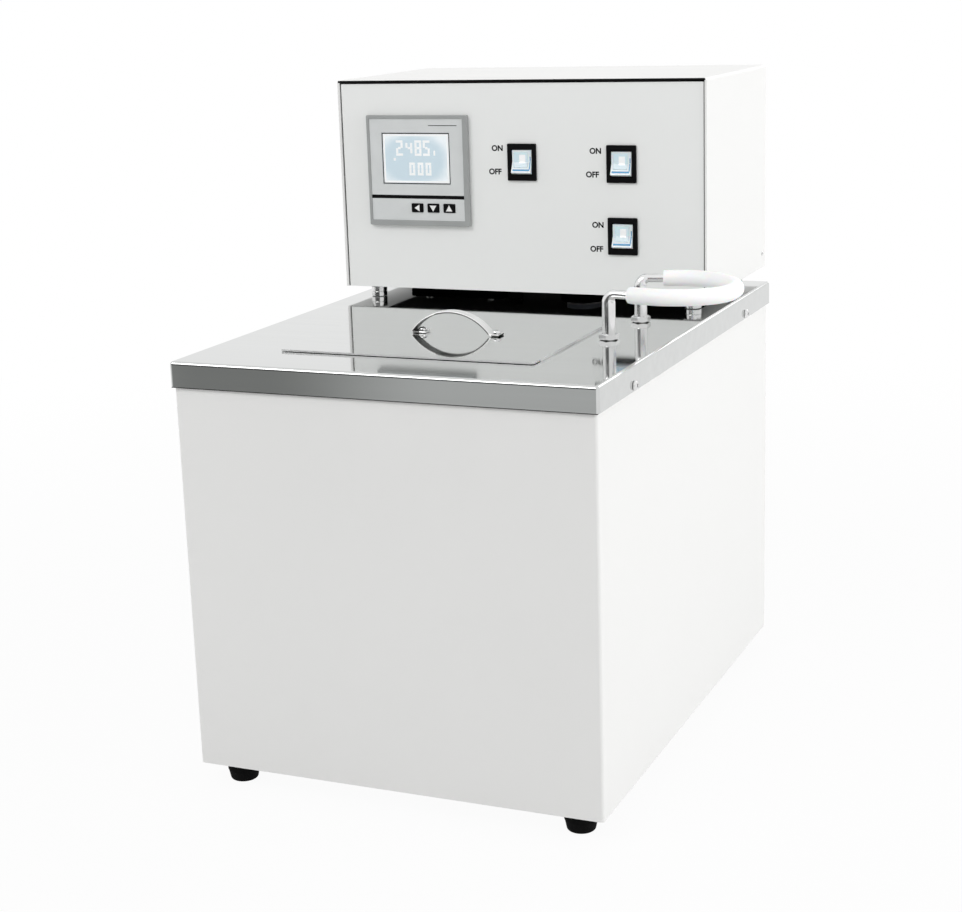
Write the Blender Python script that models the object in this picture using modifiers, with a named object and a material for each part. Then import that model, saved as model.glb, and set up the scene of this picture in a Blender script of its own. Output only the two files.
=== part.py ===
"""Laboratory oil bath: an insulated steel casing with a stainless tank and top plate, a loose lid,
two pipes bridged by a hose, and a control head on four posts that holds the pump motor.

Metres, +Z up. The bath stands on z = 0, its front faces -Y, and the origin is under the middle of
the space that casing and head take together.
"""

import math

import bmesh
import bpy
from mathutils import Matrix, Vector

# Clearances
SEAT_GAP = 0.0003  # between pieces that touch
RUN_GAP = 0.0006  # around pieces that move
OVERRUN = 0.004  # how far a cutter goes past a wall

# Casing
CASE_WIDTH = 0.3436
CASE_DEPTH = 0.460
CASE_HEIGHT = 0.3103  # underside to the lower edge of the top plate's rim
CASE_SHEET = 0.0012
CASE_EDGE_RADIUS = 0.0025
BASE_SHEET = 0.0015
BASE_FLANGE = 0.012

# Feet
FOOT_HEIGHT = 0.0185
FOOT_TOP_RADIUS = 0.013
FOOT_SOLE_RADIUS = 0.0088
FOOT_SIDE_INSET = 0.026  # side wall to a foot's centre
FOOT_INSET = 0.0225  # front or rear wall to a foot's centre
FOOT_ROUNDING = 0.0025
FOOT_ROUNDING_STEPS = 3
FOOT_RECESS_RADIUS = 0.004
FOOT_RECESS_DEPTH = 0.006

# Top plate
RIM_SHEET = 0.002
RIM_HEIGHT = 0.0198
RIM_BEND_RADIUS = 0.0028
WORKS_OFFSET = -0.00235  # tank and lid sit this far left of the casing's centre line

# Tank
TANK_DEPTH = 0.200
TANK_SHEET = 0.0012
TANK_CORNER_RADIUS = 0.012
INSULATION = 0.018
WOOL_SIDE_PLAY = 0.00775  # insulation to the casing, on the narrower side
WOOL_FRONT_PLAY = 0.0173
WOOL_REAR_PLAY = 0.0563

# Lid
LID_SIDE_SPACE = 0.03515  # tank's side wall to the lid's edge
LID_FRONT_SPACE = 0.0163  # tank's front wall to the lid's front edge
LID_HEAD_SPACE = 0.0636  # lid's rear edge to the head
LID_SHEET = 0.0015
LID_OVERLAP = 0.010  # lid beyond the opening, on each side
LID_RING_PLAY = 0.003
LID_RING_SHEET = 0.0015
LID_RING_HEIGHT = 0.010
LID_RING_CORNER_RADIUS = 0.0025

# Lid handle
HANDLE_SPAN = 0.068
HANDLE_RISE = 0.017
HANDLE_WIDTH = 0.0104
HANDLE_SHEET = 0.0015
HANDLE_TAB_LEFT = 0.0125
HANDLE_TAB_RIGHT = 0.0083
HANDLE_SEGMENTS = 18

# Screws
SCREW_HEAD_RADIUS = 0.0038
SCREW_HEAD_HEIGHT = 0.0024
SCREW_SHANK_RADIUS = 0.0016
SCREW_SHOULDER_SHARE = 0.33  # of the head's height
SCREW_CROWN_SHARE = 0.5  # of the head's radius
SCREW_CURVE_SHARE = 0.866
RIM_SCREW_DROP_SHARE = 0.778  # down the rim's height
RIM_SCREW_SETBACK = 0.0744  # casing front to the front screws
RIM_SCREW_REAR_INSET = 0.0815  # casing rear to the rear screws

# Pipes and hose
PIPE_SIDE_SPACE = 0.01445  # tank's right wall to the pipes
PIPE_HEAD_SPACE = 0.06105  # rear pipe to the head's front
PIPE_SPACING = 0.0784
PIPE_RADIUS = 0.0053
PIPE_WALL = 0.001
PIPE_RISE = 0.036  # top plate to the spigot's centre line
PIPE_BEND_RADIUS = 0.0065
SPIGOT_RADIUS = 0.0034
SPIGOT_TURN = math.radians(12)  # each spigot turns this far away from the other pipe
SPIGOT_REACH = 0.029  # pipe's axis to the spigot's end
RETURN_PIPE_DROP = 0.060  # below the top plate
OUTLET_PIPE_DROP = 0.045
NUT_ACROSS_FLATS = 0.0142
NUT_HEIGHT = 0.0045
HOSE_RADIUS = 0.0066
HOSE_STEP = 0.008  # between the points read from its smooth route

# Control head
HEAD_OFFSET = -0.00655  # head's middle to the casing's centre line
HEAD_SIDE_INSET = 0.00305  # half of what the casing is wider
HEAD_DEPTH = 0.1877
HEAD_HEIGHT = 0.1825
HEAD_OVERHANG = 0.0296  # head's rear beyond the casing's
HEAD_GAP = 0.0095  # top plate to the head
HEAD_SHEET = 0.002
HEAD_EDGE_RADIUS = 0.0028
PANEL_INSET = 0.0012
PANEL_SHEET = 0.0015
REAR_PANEL_INSET = 0.004
TRAY_FLANGE = 0.014
POST_RADIUS = 0.007
POST_SIDE_INSET = 0.0245  # casing's side to a post's centre
POST_INSET = 0.0095  # head's front to a front post's centre
POST_REAR_INSET = 0.020  # casing's rear to a rear post's centre
VENT_SLOTS = 12
VENT_WIDTH = 0.003
VENT_HEIGHT = 0.060
VENT_PITCH = 0.008
VENT_OFFSET = -0.07345  # head's middle to the vents' middle
VENT_CENTRE_UP = 0.110  # head's underside to the vents' middle

# Temperature controller
CONTROLLER_SIDE = 0.096
CONTROLLER_LEFT = 0.0284  # head's left side to the controller
CONTROLLER_DROP = 0.030  # head's top to the controller
CONTROLLER_PROUD = 0.0045
CONTROLLER_BODY = 0.0905
CONTROLLER_DEPTH = 0.070
CONTROLLER_FRAME_LEFT = 0.0026
CONTROLLER_FRAME_TOP = 0.0030
CONTROLLER_FRAME_RIGHT = 0.0042
CONTROLLER_FRAME_FOOT = 0.0045
CONTROLLER_FACE_DEPTH = 0.0008
WINDOW_WIDTH = 0.065
WINDOW_HEIGHT = 0.0445
WINDOW_LEFT = 0.0142
WINDOW_DROP = 0.0152
WINDOW_DEPTH = 0.0022
WINDOW_SUNK = 0.0004
KEY_WIDTH = 0.0110
KEY_HEIGHT = 0.0075
KEY_DEPTH = 0.0040
KEY_PROUD = 0.0010
KEY_TRAVEL = 0.0008
KEY_ROUNDING = 0.0003
KEY_PITCH = 0.0153
KEY_FIRST = 0.0466  # controller's left edge to the first key's centre
KEY_DROP = 0.0804

# Rocker switches: how far each is right of and above the middle of the head's front
SWITCH_PLACES = {
    "power": (0.00485, 0.02125),
    "circulation": (0.09455, 0.02045),
    "heating": (0.09495, -0.04035),
}
SWITCH_WIDTH = 0.0262
SWITCH_HEIGHT = 0.0315
SWITCH_PROUD = 0.0018
SWITCH_BODY_WIDTH = 0.0220
SWITCH_BODY_HEIGHT = 0.0275
SWITCH_BODY_DEPTH = 0.0220
ROCKER_WIDTH = 0.0190
ROCKER_RADIUS = 0.0109
ROCKER_SINK = 0.0032  # bezel's face to the pivot
ROCKER_VALLEY = 0.0022  # pivot to the valley between the two halves
ROCKER_BACK = 0.0037
ROCKER_ANGLE = math.radians(11)
ROCKER_ARC_STEPS = 5

# Pump
PUMP_OFFSET = 0.03735  # tank's middle to the pump's axis
PUMP_REAR_PLAY = 0.005  # pump's housing to the tank's rear wall
SHAFT_RADIUS = 0.004
MOTOR_RADIUS = 0.036
MOTOR_HEIGHT = 0.075
MOTOR_BOSS_RADIUS = 0.015
MOTOR_BOSS_HEIGHT = 0.006
MOTOR_GROOVES = 4
MOTOR_GROOVE_DEPTH = 0.003
MOTOR_GROOVE_DRAFT = 0.0003
FAN_RADIUS = 0.030
FAN_HUB_RADIUS = 0.009
FAN_HEIGHT = 0.010
FAN_BLADES = 7
COLUMN_RADIUS = 0.0105
COLUMN_WALL = 0.0025
COLUMN_FLANGE_RADIUS = 0.020
COLUMN_FLANGE_HEIGHT = 0.003
PUMP_RADIUS = 0.028
PUMP_WALL = 0.003
PUMP_HEIGHT = 0.024
PUMP_FLOOR_GAP = 0.018  # tank's floor to the pump's mouth
IMPELLER_RADIUS = 0.022
IMPELLER_HEIGHT = 0.012
IMPELLER_HUB_RADIUS = 0.009
IMPELLER_BLADES = 6
BLADE_SHEET = 0.002
BLADE_HEIGHT_SHARE = 0.9
BEARING_HEIGHT = 0.012
DELIVERY_RADIUS = 0.0045
DELIVERY_WALL = 0.001
DELIVERY_BEND = 0.020

# Heater and probe
HEATER_RADIUS = 0.004
HEATER_SIDE_SPACE = 0.03135  # tank's left wall to the element's first run
HEATER_WIDTH = 0.060
HEATER_REAR_SPACE = 0.038  # tank's rear wall to the element's upright ends
HEATER_FLOOR_GAP = 0.030
HEATER_BEND = 0.009
HEATER_BEND_STEPS = 4
HEATER_RUNS = 3  # spaces between its four long runs
HEATER_REACH = 0.083  # upright ends to the element's front bends
HEATER_FOLD_SPACE = 0.020  # upright ends to its rear bend
HEATER_STUB = 0.003  # element's ends above their flange
HEATER_FLANGE_WIDTH = 0.090
HEATER_FLANGE_DEPTH = 0.024
FLANGE_SHEET = 0.003
PROBE_OFFSET = -0.01765  # tank's middle to the probe
PROBE_REAR_SPACE = 0.058  # tank's rear wall to the probe
PROBE_RADIUS = 0.003
PROBE_LENGTH = 0.150
PROBE_HEX = 0.012
PROBE_HEX_HEIGHT = 0.005

# Electrics in the head
RELAY_SIZE = (0.045, 0.058, 0.028)
RELAY_INSET = 0.0572  # head's right side to the relay's middle
RELAY_ROUNDING = 0.0012
TERMINAL_SIZE = (0.080, 0.020, 0.016)
TERMINAL_INSET = 0.0803  # head's left side to the strip's middle
ELECTRICS_INSET = 0.0596  # head's rear to their centre line
TERMINAL_WAYS = 6
TERMINAL_STEPS = 8
TERMINAL_MIDDLE_SHARE = 0.5
TERMINAL_SCREW_SHARE = 0.3

# Mains inlet
INLET_OFFSET = 0.09155  # head's middle to the inlet's centre
INLET_UP = 0.045  # head's underside to the inlet's centre
INLET_FLANGE_WIDTH = 0.034
INLET_FLANGE_HEIGHT = 0.028
INLET_FLANGE_SHEET = 0.0025
INLET_BODY_WIDTH = 0.028
INLET_BODY_HEIGHT = 0.0215
INLET_BODY_DEPTH = 0.020
INLET_SOCKET_WIDTH = 0.024
INLET_SOCKET_HEIGHT = 0.0165
INLET_SOCKET_DEPTH = 0.016
PIN_WIDTH = 0.002
PIN_HEIGHT = 0.004
PIN_LENGTH = 0.014
PIN_SPREAD = 0.007
PIN_EARTH_RISE = 0.004

# Heights and planes that follow from the sizes above
RIM_OVERHANG = RIM_SHEET + SEAT_GAP
CASE_TOP = FOOT_HEIGHT + CASE_HEIGHT
PLATE_TOP = CASE_TOP + RIM_HEIGHT
PLATE_UNDER = PLATE_TOP - RIM_SHEET
REAR_REACH = CASE_DEPTH + max(HEAD_OVERHANG, RIM_OVERHANG)
CASE_FRONT = -(REAR_REACH - RIM_OVERHANG) / 2
CASE_REAR = CASE_FRONT + CASE_DEPTH
FOOT_SPREAD = CASE_WIDTH / 2 - FOOT_SIDE_INSET
POST_SPREAD = CASE_WIDTH / 2 - POST_SIDE_INSET
HEAD_WIDTH = CASE_WIDTH - 2 * HEAD_SIDE_INSET
HEAD_BASE = PLATE_TOP + HEAD_GAP
HEAD_TOP = HEAD_BASE + HEAD_HEIGHT
HEAD_REAR = CASE_REAR + HEAD_OVERHANG
HEAD_FRONT = HEAD_REAR - HEAD_DEPTH
HEAD_LEFT = HEAD_OFFSET - HEAD_WIDTH / 2
HEAD_RIGHT = HEAD_OFFSET + HEAD_WIDTH / 2
PANEL_FACE = HEAD_FRONT + PANEL_INSET
PANEL_BACK = PANEL_FACE + PANEL_SHEET
REAR_FACE = HEAD_REAR - REAR_PANEL_INSET
TRAY_TOP = HEAD_BASE + HEAD_SHEET
WALL_BUILD = CASE_SHEET + INSULATION + TANK_SHEET + SEAT_GAP
TANK_WIDTH = CASE_WIDTH - 2 * (WALL_BUILD + WOOL_SIDE_PLAY + abs(WORKS_OFFSET))
TANK_LEFT = WORKS_OFFSET - TANK_WIDTH / 2
TANK_RIGHT = WORKS_OFFSET + TANK_WIDTH / 2
TANK_FRONT = CASE_FRONT + WALL_BUILD + WOOL_FRONT_PLAY
TANK_REAR = CASE_REAR - WALL_BUILD - WOOL_REAR_PLAY
LID_WIDTH = TANK_WIDTH - 2 * LID_SIDE_SPACE
LID_FRONT = TANK_FRONT + LID_FRONT_SPACE
LID_DEPTH = HEAD_FRONT - LID_HEAD_SPACE - LID_FRONT
LID_CENTRE_Y = LID_FRONT + LID_DEPTH / 2
LID_BASE = PLATE_TOP + SEAT_GAP
LID_TOP = LID_BASE + LID_SHEET
TANK_FLOOR = PLATE_UNDER - SEAT_GAP - TANK_DEPTH
PIPE_X = TANK_RIGHT - PIPE_SIDE_SPACE
PIPE_REAR_Y = HEAD_FRONT - PIPE_HEAD_SPACE
PIPE_FRONT_Y = PIPE_REAR_Y - PIPE_SPACING
SPIGOT_HEIGHT = PLATE_TOP + PIPE_RISE
HEATER_LEFT = TANK_LEFT + HEATER_SIDE_SPACE
HEATER_RIGHT = HEATER_LEFT + HEATER_WIDTH
HEATER_Y = TANK_REAR - HEATER_REAR_SPACE
PROBE_X = WORKS_OFFSET + PROBE_OFFSET
PROBE_Y = TANK_REAR - PROBE_REAR_SPACE
PUMP_X = WORKS_OFFSET + PUMP_OFFSET
PUMP_Y = TANK_REAR - PUMP_REAR_PLAY - PUMP_RADIUS
PUMP_MOUTH = TANK_FLOOR + PUMP_FLOOR_GAP
PUMP_TOP = PUMP_MOUTH + PUMP_HEIGHT

# The hose's route, from the front spigot's mouth round to the rear one
HOSE_ROUTE = (
    (0.1428, -0.0852, 0.3846),
    (0.1496, -0.0866, 0.3846),
    (0.1563, -0.0880, 0.3846),
    (0.1682, -0.0890, 0.3845),
    (0.1799, -0.0870, 0.3844),
    (0.1908, -0.0820, 0.3841),
    (0.2001, -0.0745, 0.3839),
    (0.2071, -0.0649, 0.3836),
    (0.2116, -0.0538, 0.3835),
    (0.2131, -0.0420, 0.3834),
    (0.2116, -0.0302, 0.3835),
    (0.2071, -0.0191, 0.3836),
    (0.2001, -0.0095, 0.3839),
    (0.1908, -0.0020, 0.3841),
    (0.1799, 0.0030, 0.3844),
    (0.1682, 0.0050, 0.3845),
    (0.1563, 0.0040, 0.3846),
    (0.1496, 0.0026, 0.3846),
    (0.1428, 0.0012, 0.3846),
)

# Facets
ROUND_STEPS = 24
SMALL_STEPS = 14
POST_STEPS = 20
HEX_SIDES = 6
BEND_STEPS = 5
TUBE_RESOLUTION = 2
SHADE_ANGLE = math.radians(35)
MERGE = 0.00001

X_AXIS, Y_AXIS, Z_AXIS = Vector((1, 0, 0)), Vector((0, 1, 0)), Vector((0, 0, 1))


def clear_scene():
    """Removes what the file opened with."""
    for item in list(bpy.data.objects):
        bpy.data.objects.remove(item, do_unlink=True)


def new_collection(name):
    collection = bpy.data.collections.new(name)
    bpy.context.scene.collection.children.link(collection)
    return collection


clear_scene()
PIECES = new_collection("oil_bath")
CUTTERS = new_collection("oil_bath_cutters")


def finish(name, colour, roughness, metallic=0.0, alpha=1.0):
    """A Principled material."""
    material = bpy.data.materials.new(name)
    material.use_nodes = True
    shader = material.node_tree.nodes["Principled BSDF"]
    shader.inputs["Base Color"].default_value = (*colour, 1)
    shader.inputs["Roughness"].default_value = roughness
    shader.inputs["Metallic"].default_value = metallic
    shader.inputs["Alpha"].default_value = alpha
    return material


CASE_PAINT = finish("case_paint", (0.80, 0.80, 0.79), 0.35)
PANEL_PAINT = finish("panel_paint", (0.72, 0.73, 0.72), 0.40)
STAINLESS = finish("stainless", (0.62, 0.62, 0.61), 0.22, 1.0)
BRIGHT_STEEL = finish("bright_steel", (0.75, 0.75, 0.75), 0.15, 1.0)
ZINC_STEEL = finish("zinc_steel", (0.58, 0.59, 0.60), 0.35, 1.0)
BLACK_RUBBER = finish("black_rubber", (0.02, 0.02, 0.02), 0.75)
BLACK_PLASTIC = finish("black_plastic", (0.015, 0.015, 0.017), 0.35)
GREY_PLASTIC = finish("grey_plastic", (0.42, 0.43, 0.42), 0.45)
ROCKER_PLASTIC = finish("rocker_plastic", (0.62, 0.80, 0.86), 0.25)
WHITE_PLASTIC = finish("white_plastic", (0.75, 0.75, 0.72), 0.40)
DISPLAY_GLASS = finish("display_glass", (0.60, 0.74, 0.78), 0.10, 0.0, 0.6)
SILICONE = finish("silicone", (0.85, 0.85, 0.84), 0.40)
MINERAL_WOOL = finish("mineral_wool", (0.66, 0.58, 0.38), 0.95)
MOTOR_PAINT = finish("motor_paint", (0.10, 0.11, 0.13), 0.50, 0.3)
DARK_ENAMEL = finish("dark_enamel", (0.012, 0.012, 0.013), 0.55)
BRONZE = finish("bronze", (0.55, 0.36, 0.18), 0.35, 1.0)
BRASS = finish("brass", (0.70, 0.52, 0.25), 0.30, 1.0)


def add_object(name, mesh, surface, centre=(0, 0, 0)):
    """Puts a mesh in the model as a piece of its own."""
    piece = bpy.data.objects.new(name, mesh)
    piece.location = centre
    if surface:
        mesh.materials.clear()
        mesh.materials.append(surface)
        PIECES.objects.link(piece)
    else:
        piece.hide_render = True
        piece.display_type = "WIRE"
        CUTTERS.objects.link(piece)
    return piece


def mesh_from(shape, name):
    """Turns a bmesh into a mesh whose faces point outwards."""
    bmesh.ops.recalc_face_normals(shape, faces=shape.faces)
    mesh = bpy.data.meshes.new(name)
    shape.to_mesh(mesh)
    shape.free()
    return mesh


def block_mesh(name, size, middle=(0, 0, 0)):
    shape = bmesh.new()
    place = Matrix.Translation(middle) @ Matrix.Diagonal((*size, 1))
    bmesh.ops.create_cube(shape, size=1, matrix=place)
    return mesh_from(shape, name)


def rod_mesh(name, radius, length, axis=Z_AXIS, steps=SMALL_STEPS, end_radius=None):
    """A cylinder about its middle, or a cone whose far end has another radius."""
    shape = bmesh.new()
    bmesh.ops.create_cone(
        shape,
        cap_ends=True,
        segments=steps,
        radius1=radius,
        radius2=radius if end_radius is None else end_radius,
        depth=length,
        matrix=Z_AXIS.rotation_difference(axis).to_matrix().to_4x4(),
    )
    mesh = mesh_from(shape, name)
    mesh.shade_smooth()
    mesh.set_sharp_from_angle(angle=SHADE_ANGLE)
    return mesh


def round_edges(piece, width, segments=2):
    bevel = piece.modifiers.new("rounded_edges", "BEVEL")
    bevel.width = width
    bevel.segments = segments
    bevel.limit_method = "ANGLE"
    bevel.angle_limit = SHADE_ANGLE
    return bevel


def thicken(piece, thickness, offset):
    sheet = piece.modifiers.new("sheet", "SOLIDIFY")
    sheet.thickness = thickness
    sheet.offset = offset
    sheet.use_even_offset = True
    return sheet


def combine(piece, other, operation):
    step = piece.modifiers.new(operation.lower(), "BOOLEAN")
    step.operation = operation
    step.object = other
    step.solver = "EXACT"
    return step


def block(name, size, centre, surface):
    return add_object(name, block_mesh(name, size), surface, centre)


def rod(name, radius, length, centre, surface, axis=Z_AXIS, steps=SMALL_STEPS):
    return add_object(name, rod_mesh(name, radius, length, axis, steps), surface, centre)


def cut_block(piece, name, size, centre):
    combine(piece, block(name + "_cutter", size, centre, None), "DIFFERENCE")


def cut_rod(piece, name, radius, length, centre, axis=Z_AXIS, steps=SMALL_STEPS):
    combine(piece, rod(name + "_cutter", radius, length, centre, None, axis, steps), "DIFFERENCE")


def carry(carrier, *pieces):
    """Parents pieces to the one that carries them, where they are."""
    for piece in pieces:
        piece.parent = carrier
        piece.matrix_parent_inverse = Matrix.Translation(carrier.location).inverted()


def open_box(name, low, high, surface, open_faces):
    """A box of sheet edges without the faces whose outward directions are given."""
    size = Vector(high) - Vector(low)
    shape = bmesh.new()
    bmesh.ops.create_cube(shape, size=1, matrix=Matrix.Diagonal((*size, 1)))
    gone = [face for face in shape.faces if any(face.normal.dot(way) > 0 for way in open_faces)]
    bmesh.ops.delete(shape, geom=gone, context="FACES")
    mesh = bpy.data.meshes.new(name)
    shape.to_mesh(mesh)
    shape.free()
    return add_object(name, mesh, surface, (Vector(low) + Vector(high)) / 2)


def turned(name, outline, centre, surface, steps=ROUND_STEPS, closed=False, axis=None):
    """Turns an outline of radius and height pairs, which runs down the outer side, round the piece's axis."""
    mesh = bpy.data.meshes.new(name)
    points = [(radius, 0, height) for radius, height in outline]
    edges = [(i, i + 1) for i in range(len(points) - 1)]
    if closed:
        edges.append((len(points) - 1, 0))
    mesh.from_pydata(points, edges, [])
    piece = add_object(name, mesh, surface, centre)
    screw = piece.modifiers.new("turned", "SCREW")
    screw.axis = "Z"
    screw.steps = steps
    screw.render_steps = steps
    screw.use_merge_vertices = True
    screw.merge_threshold = MERGE
    if axis:
        piece.rotation_mode = "QUATERNION"
        piece.rotation_quaternion = Z_AXIS.rotation_difference(axis)
    return piece


def bent_path(corners, bend_radius, steps=BEND_STEPS):
    """The corners' path with an arc in place of each inner corner."""
    corners = [Vector(corner) for corner in corners]
    path = [corners[0]]
    for before, corner, after in zip(corners, corners[1:], corners[2:]):
        way_in = (corner - before).normalized()
        way_out = (after - corner).normalized()
        turn = way_in.angle(way_out)
        reach = bend_radius * math.tan(turn / 2)
        inward = (way_out - way_in).normalized()
        middle = corner + inward * bend_radius / math.cos(turn / 2)
        start = corner - way_in * reach - middle
        spin_axis = way_in.cross(way_out).normalized()
        for i in range(steps + 1):
            path.append(middle + Matrix.Rotation(turn * i / steps, 3, spin_axis) @ start)
    path.append(corners[-1])
    return path


def smooth_path(points, step):
    """Points about a step apart on the smooth curve through the points given."""
    points = [Vector(point) for point in points]
    padded = [2 * points[0] - points[1], *points, 2 * points[-1] - points[-2]]
    path = []
    for a, b, c, d in zip(padded, padded[1:], padded[2:], padded[3:]):
        count = max(1, round((c - b).length / step))
        for i in range(count):
            t = i / count
            pull = (c - a) / 2 * t * (1 - t) ** 2 - (d - b) / 2 * (1 - t) * t**2
            path.append(b * (1 + 2 * t) * (1 - t) ** 2 + c * (3 - 2 * t) * t**2 + pull)
    path.append(points[-1])
    return path


def tube_mesh(name, path, radius, shares=None, resolution=TUBE_RESOLUTION):
    """The mesh of a round curve along a path, with a share of the radius at each point."""
    curve = bpy.data.curves.new(name, "CURVE")
    curve.dimensions = "3D"
    curve.bevel_depth = radius
    curve.bevel_resolution = resolution
    curve.use_fill_caps = True
    spline = curve.splines.new("POLY")
    spline.points.add(len(path) - 1)
    for i, (point, place) in enumerate(zip(spline.points, path)):
        point.co = (*place, 1)
        point.radius = shares[i] if shares else 1
    guide = bpy.data.objects.new(name + "_guide", curve)
    CUTTERS.objects.link(guide)
    evaluated = guide.evaluated_get(bpy.context.evaluated_depsgraph_get())
    shape = bmesh.new()
    shape.from_mesh(bpy.data.meshes.new_from_object(evaluated))
    bpy.data.objects.remove(guide, do_unlink=True)
    bmesh.ops.remove_doubles(shape, verts=shape.verts, dist=MERGE)
    mesh = mesh_from(shape, name)
    mesh.shade_smooth()
    mesh.set_sharp_from_angle(angle=SHADE_ANGLE)
    return mesh


def tube(name, path, radius, surface, shares=None, resolution=TUBE_RESOLUTION):
    return add_object(name, tube_mesh(name, path, radius, shares, resolution), surface)


def hollow(piece, path, radius, shares=None, resolution=TUBE_RESOLUTION):
    """Bores a tube along its path, past both ends."""
    start = path[0] + (path[0] - path[1]).normalized() * OVERRUN
    end = path[-1] + (path[-1] - path[-2]).normalized() * OVERRUN
    bore_path = [start, *path[1:-1], end]
    mesh = tube_mesh(piece.name + "_bore", bore_path, radius, shares, resolution)
    combine(piece, add_object(piece.name + "_bore", mesh, None), "DIFFERENCE")


def extruded_mesh(name, outline, width):
    """An outline of depth and height pairs, extruded along X about its middle."""
    shape = bmesh.new()
    face = shape.faces.new([shape.verts.new((-width / 2, y, z)) for y, z in outline])
    grown = bmesh.ops.extrude_face_region(shape, geom=[face])
    moved = [item for item in grown["geom"] if isinstance(item, bmesh.types.BMVert)]
    bmesh.ops.translate(shape, verts=moved, vec=(width, 0, 0))
    return mesh_from(shape, name)


def build_casing():
    """The painted wrap, its bottom tray and the four feet."""
    half_width = CASE_WIDTH / 2
    casing = open_box(
        "base_casing",
        (-half_width, CASE_FRONT, FOOT_HEIGHT),
        (half_width, CASE_REAR, PLATE_UNDER - SEAT_GAP),
        CASE_PAINT,
        (Z_AXIS, -Z_AXIS),
    )
    round_edges(casing, CASE_EDGE_RADIUS, 3)
    thicken(casing, CASE_SHEET, -1)
    inner = CASE_SHEET + SEAT_GAP
    base = open_box(
        "base_plate",
        (-half_width + inner, CASE_FRONT + inner, FOOT_HEIGHT),
        (half_width - inner, CASE_REAR - inner, FOOT_HEIGHT + BASE_FLANGE),
        ZINC_STEEL,
        (Z_AXIS,),
    )
    round_edges(base, CASE_EDGE_RADIUS, 2)
    thicken(base, BASE_SHEET, -1)
    for depth_name, y in (("front", CASE_FRONT + FOOT_INSET), ("rear", CASE_REAR - FOOT_INSET)):
        for side_name, side in (("left", -1), ("right", 1)):
            build_foot(f"foot_{depth_name}_{side_name}", (side * FOOT_SPREAD, y, 0))


def build_foot(name, place):
    top = FOOT_HEIGHT - SEAT_GAP
    outline = [(0, top), (FOOT_TOP_RADIUS, top), (FOOT_TOP_RADIUS, FOOT_HEIGHT / 2)]
    for i in range(FOOT_ROUNDING_STEPS + 1):
        turn = math.pi / 2 * i / FOOT_ROUNDING_STEPS
        radius = FOOT_SOLE_RADIUS + FOOT_ROUNDING * math.cos(turn)
        outline.append((radius, FOOT_ROUNDING * (1 - math.sin(turn))))
    outline += [(FOOT_RECESS_RADIUS, 0), (FOOT_RECESS_RADIUS, FOOT_RECESS_DEPTH), (0, FOOT_RECESS_DEPTH)]
    turned(name, outline, place, BLACK_RUBBER, POST_STEPS)


def build_top_plate():
    """The folded stainless top with every hole that passes through it."""
    half_width = CASE_WIDTH / 2 + RIM_OVERHANG
    plate = open_box(
        "top_plate",
        (-half_width, CASE_FRONT - RIM_OVERHANG, CASE_TOP),
        (half_width, CASE_REAR + RIM_OVERHANG, PLATE_TOP),
        STAINLESS,
        (-Z_AXIS,),
    )
    round_edges(plate, RIM_BEND_RADIUS, 3)
    thicken(plate, RIM_SHEET, -1)
    through = RIM_SHEET + 2 * OVERRUN
    middle = PLATE_TOP - RIM_SHEET / 2
    opening = (LID_WIDTH - 2 * LID_OVERLAP, LID_DEPTH - 2 * LID_OVERLAP, through)
    cut_block(plate, "tank_opening", opening, (WORKS_OFFSET, LID_CENTRE_Y, middle))
    pipe_hole = PIPE_RADIUS + SEAT_GAP
    holes = {
        "front_pipe_hole": (PIPE_X, PIPE_FRONT_Y, pipe_hole),
        "rear_pipe_hole": (PIPE_X, PIPE_REAR_Y, pipe_hole),
        "column_hole": (PUMP_X, PUMP_Y, COLUMN_RADIUS + SEAT_GAP),
        "heater_left_hole": (HEATER_LEFT, HEATER_Y, HEATER_RADIUS + SEAT_GAP),
        "heater_right_hole": (HEATER_RIGHT, HEATER_Y, HEATER_RADIUS + SEAT_GAP),
        "probe_hole": (PROBE_X, PROBE_Y, PROBE_RADIUS + SEAT_GAP),
    }
    for name, (x, y, radius) in holes.items():
        cut_rod(plate, name, radius, through, (x, y, middle))
    return plate


def build_rim_screws(plate):
    """Pan-head screws that hold the rim to the casing, two on each side."""
    height = PLATE_TOP - RIM_HEIGHT * RIM_SCREW_DROP_SHARE
    casing = bpy.data.objects["base_casing"]
    front = CASE_FRONT + RIM_SCREW_SETBACK
    rear = CASE_REAR - RIM_SCREW_REAR_INSET
    face = CASE_WIDTH / 2 + RIM_OVERHANG
    for depth_name, y in (("front", front), ("rear", rear)):
        for side_name, side in (("left", -1), ("right", 1)):
            name = f"rim_screw_{depth_name}_{side_name}"
            way = side * X_AXIS
            pan_screw(name, (side * face, y, height), way, RIM_OVERHANG + 2 * CASE_SHEET)
            middle = (side * (CASE_WIDTH / 2), y, height)
            for sheet in (plate, casing):
                hole = SCREW_SHANK_RADIUS + SEAT_GAP
                length = 2 * (RIM_OVERHANG + OVERRUN)
                cut_rod(sheet, f"{name}_{sheet.name}", hole, length, middle, X_AXIS)


def pan_screw(name, seat, way, shank_length):
    """A screw whose head sits on the seat and whose shank goes the other way."""
    base = SEAT_GAP
    shoulder = base + SCREW_HEAD_HEIGHT * SCREW_SHOULDER_SHARE
    crown = base + SCREW_HEAD_HEIGHT
    outline = [
        (0, crown),
        (SCREW_HEAD_RADIUS * SCREW_CROWN_SHARE, crown),
        (SCREW_HEAD_RADIUS * SCREW_CURVE_SHARE, (shoulder + crown) / 2),
        (SCREW_HEAD_RADIUS, shoulder),
        (SCREW_HEAD_RADIUS, base),
        (SCREW_SHANK_RADIUS, base),
        (SCREW_SHANK_RADIUS, -shank_length),
        (0, -shank_length),
    ]
    return turned(name, outline, seat, BRIGHT_STEEL, SMALL_STEPS, axis=way)


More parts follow.
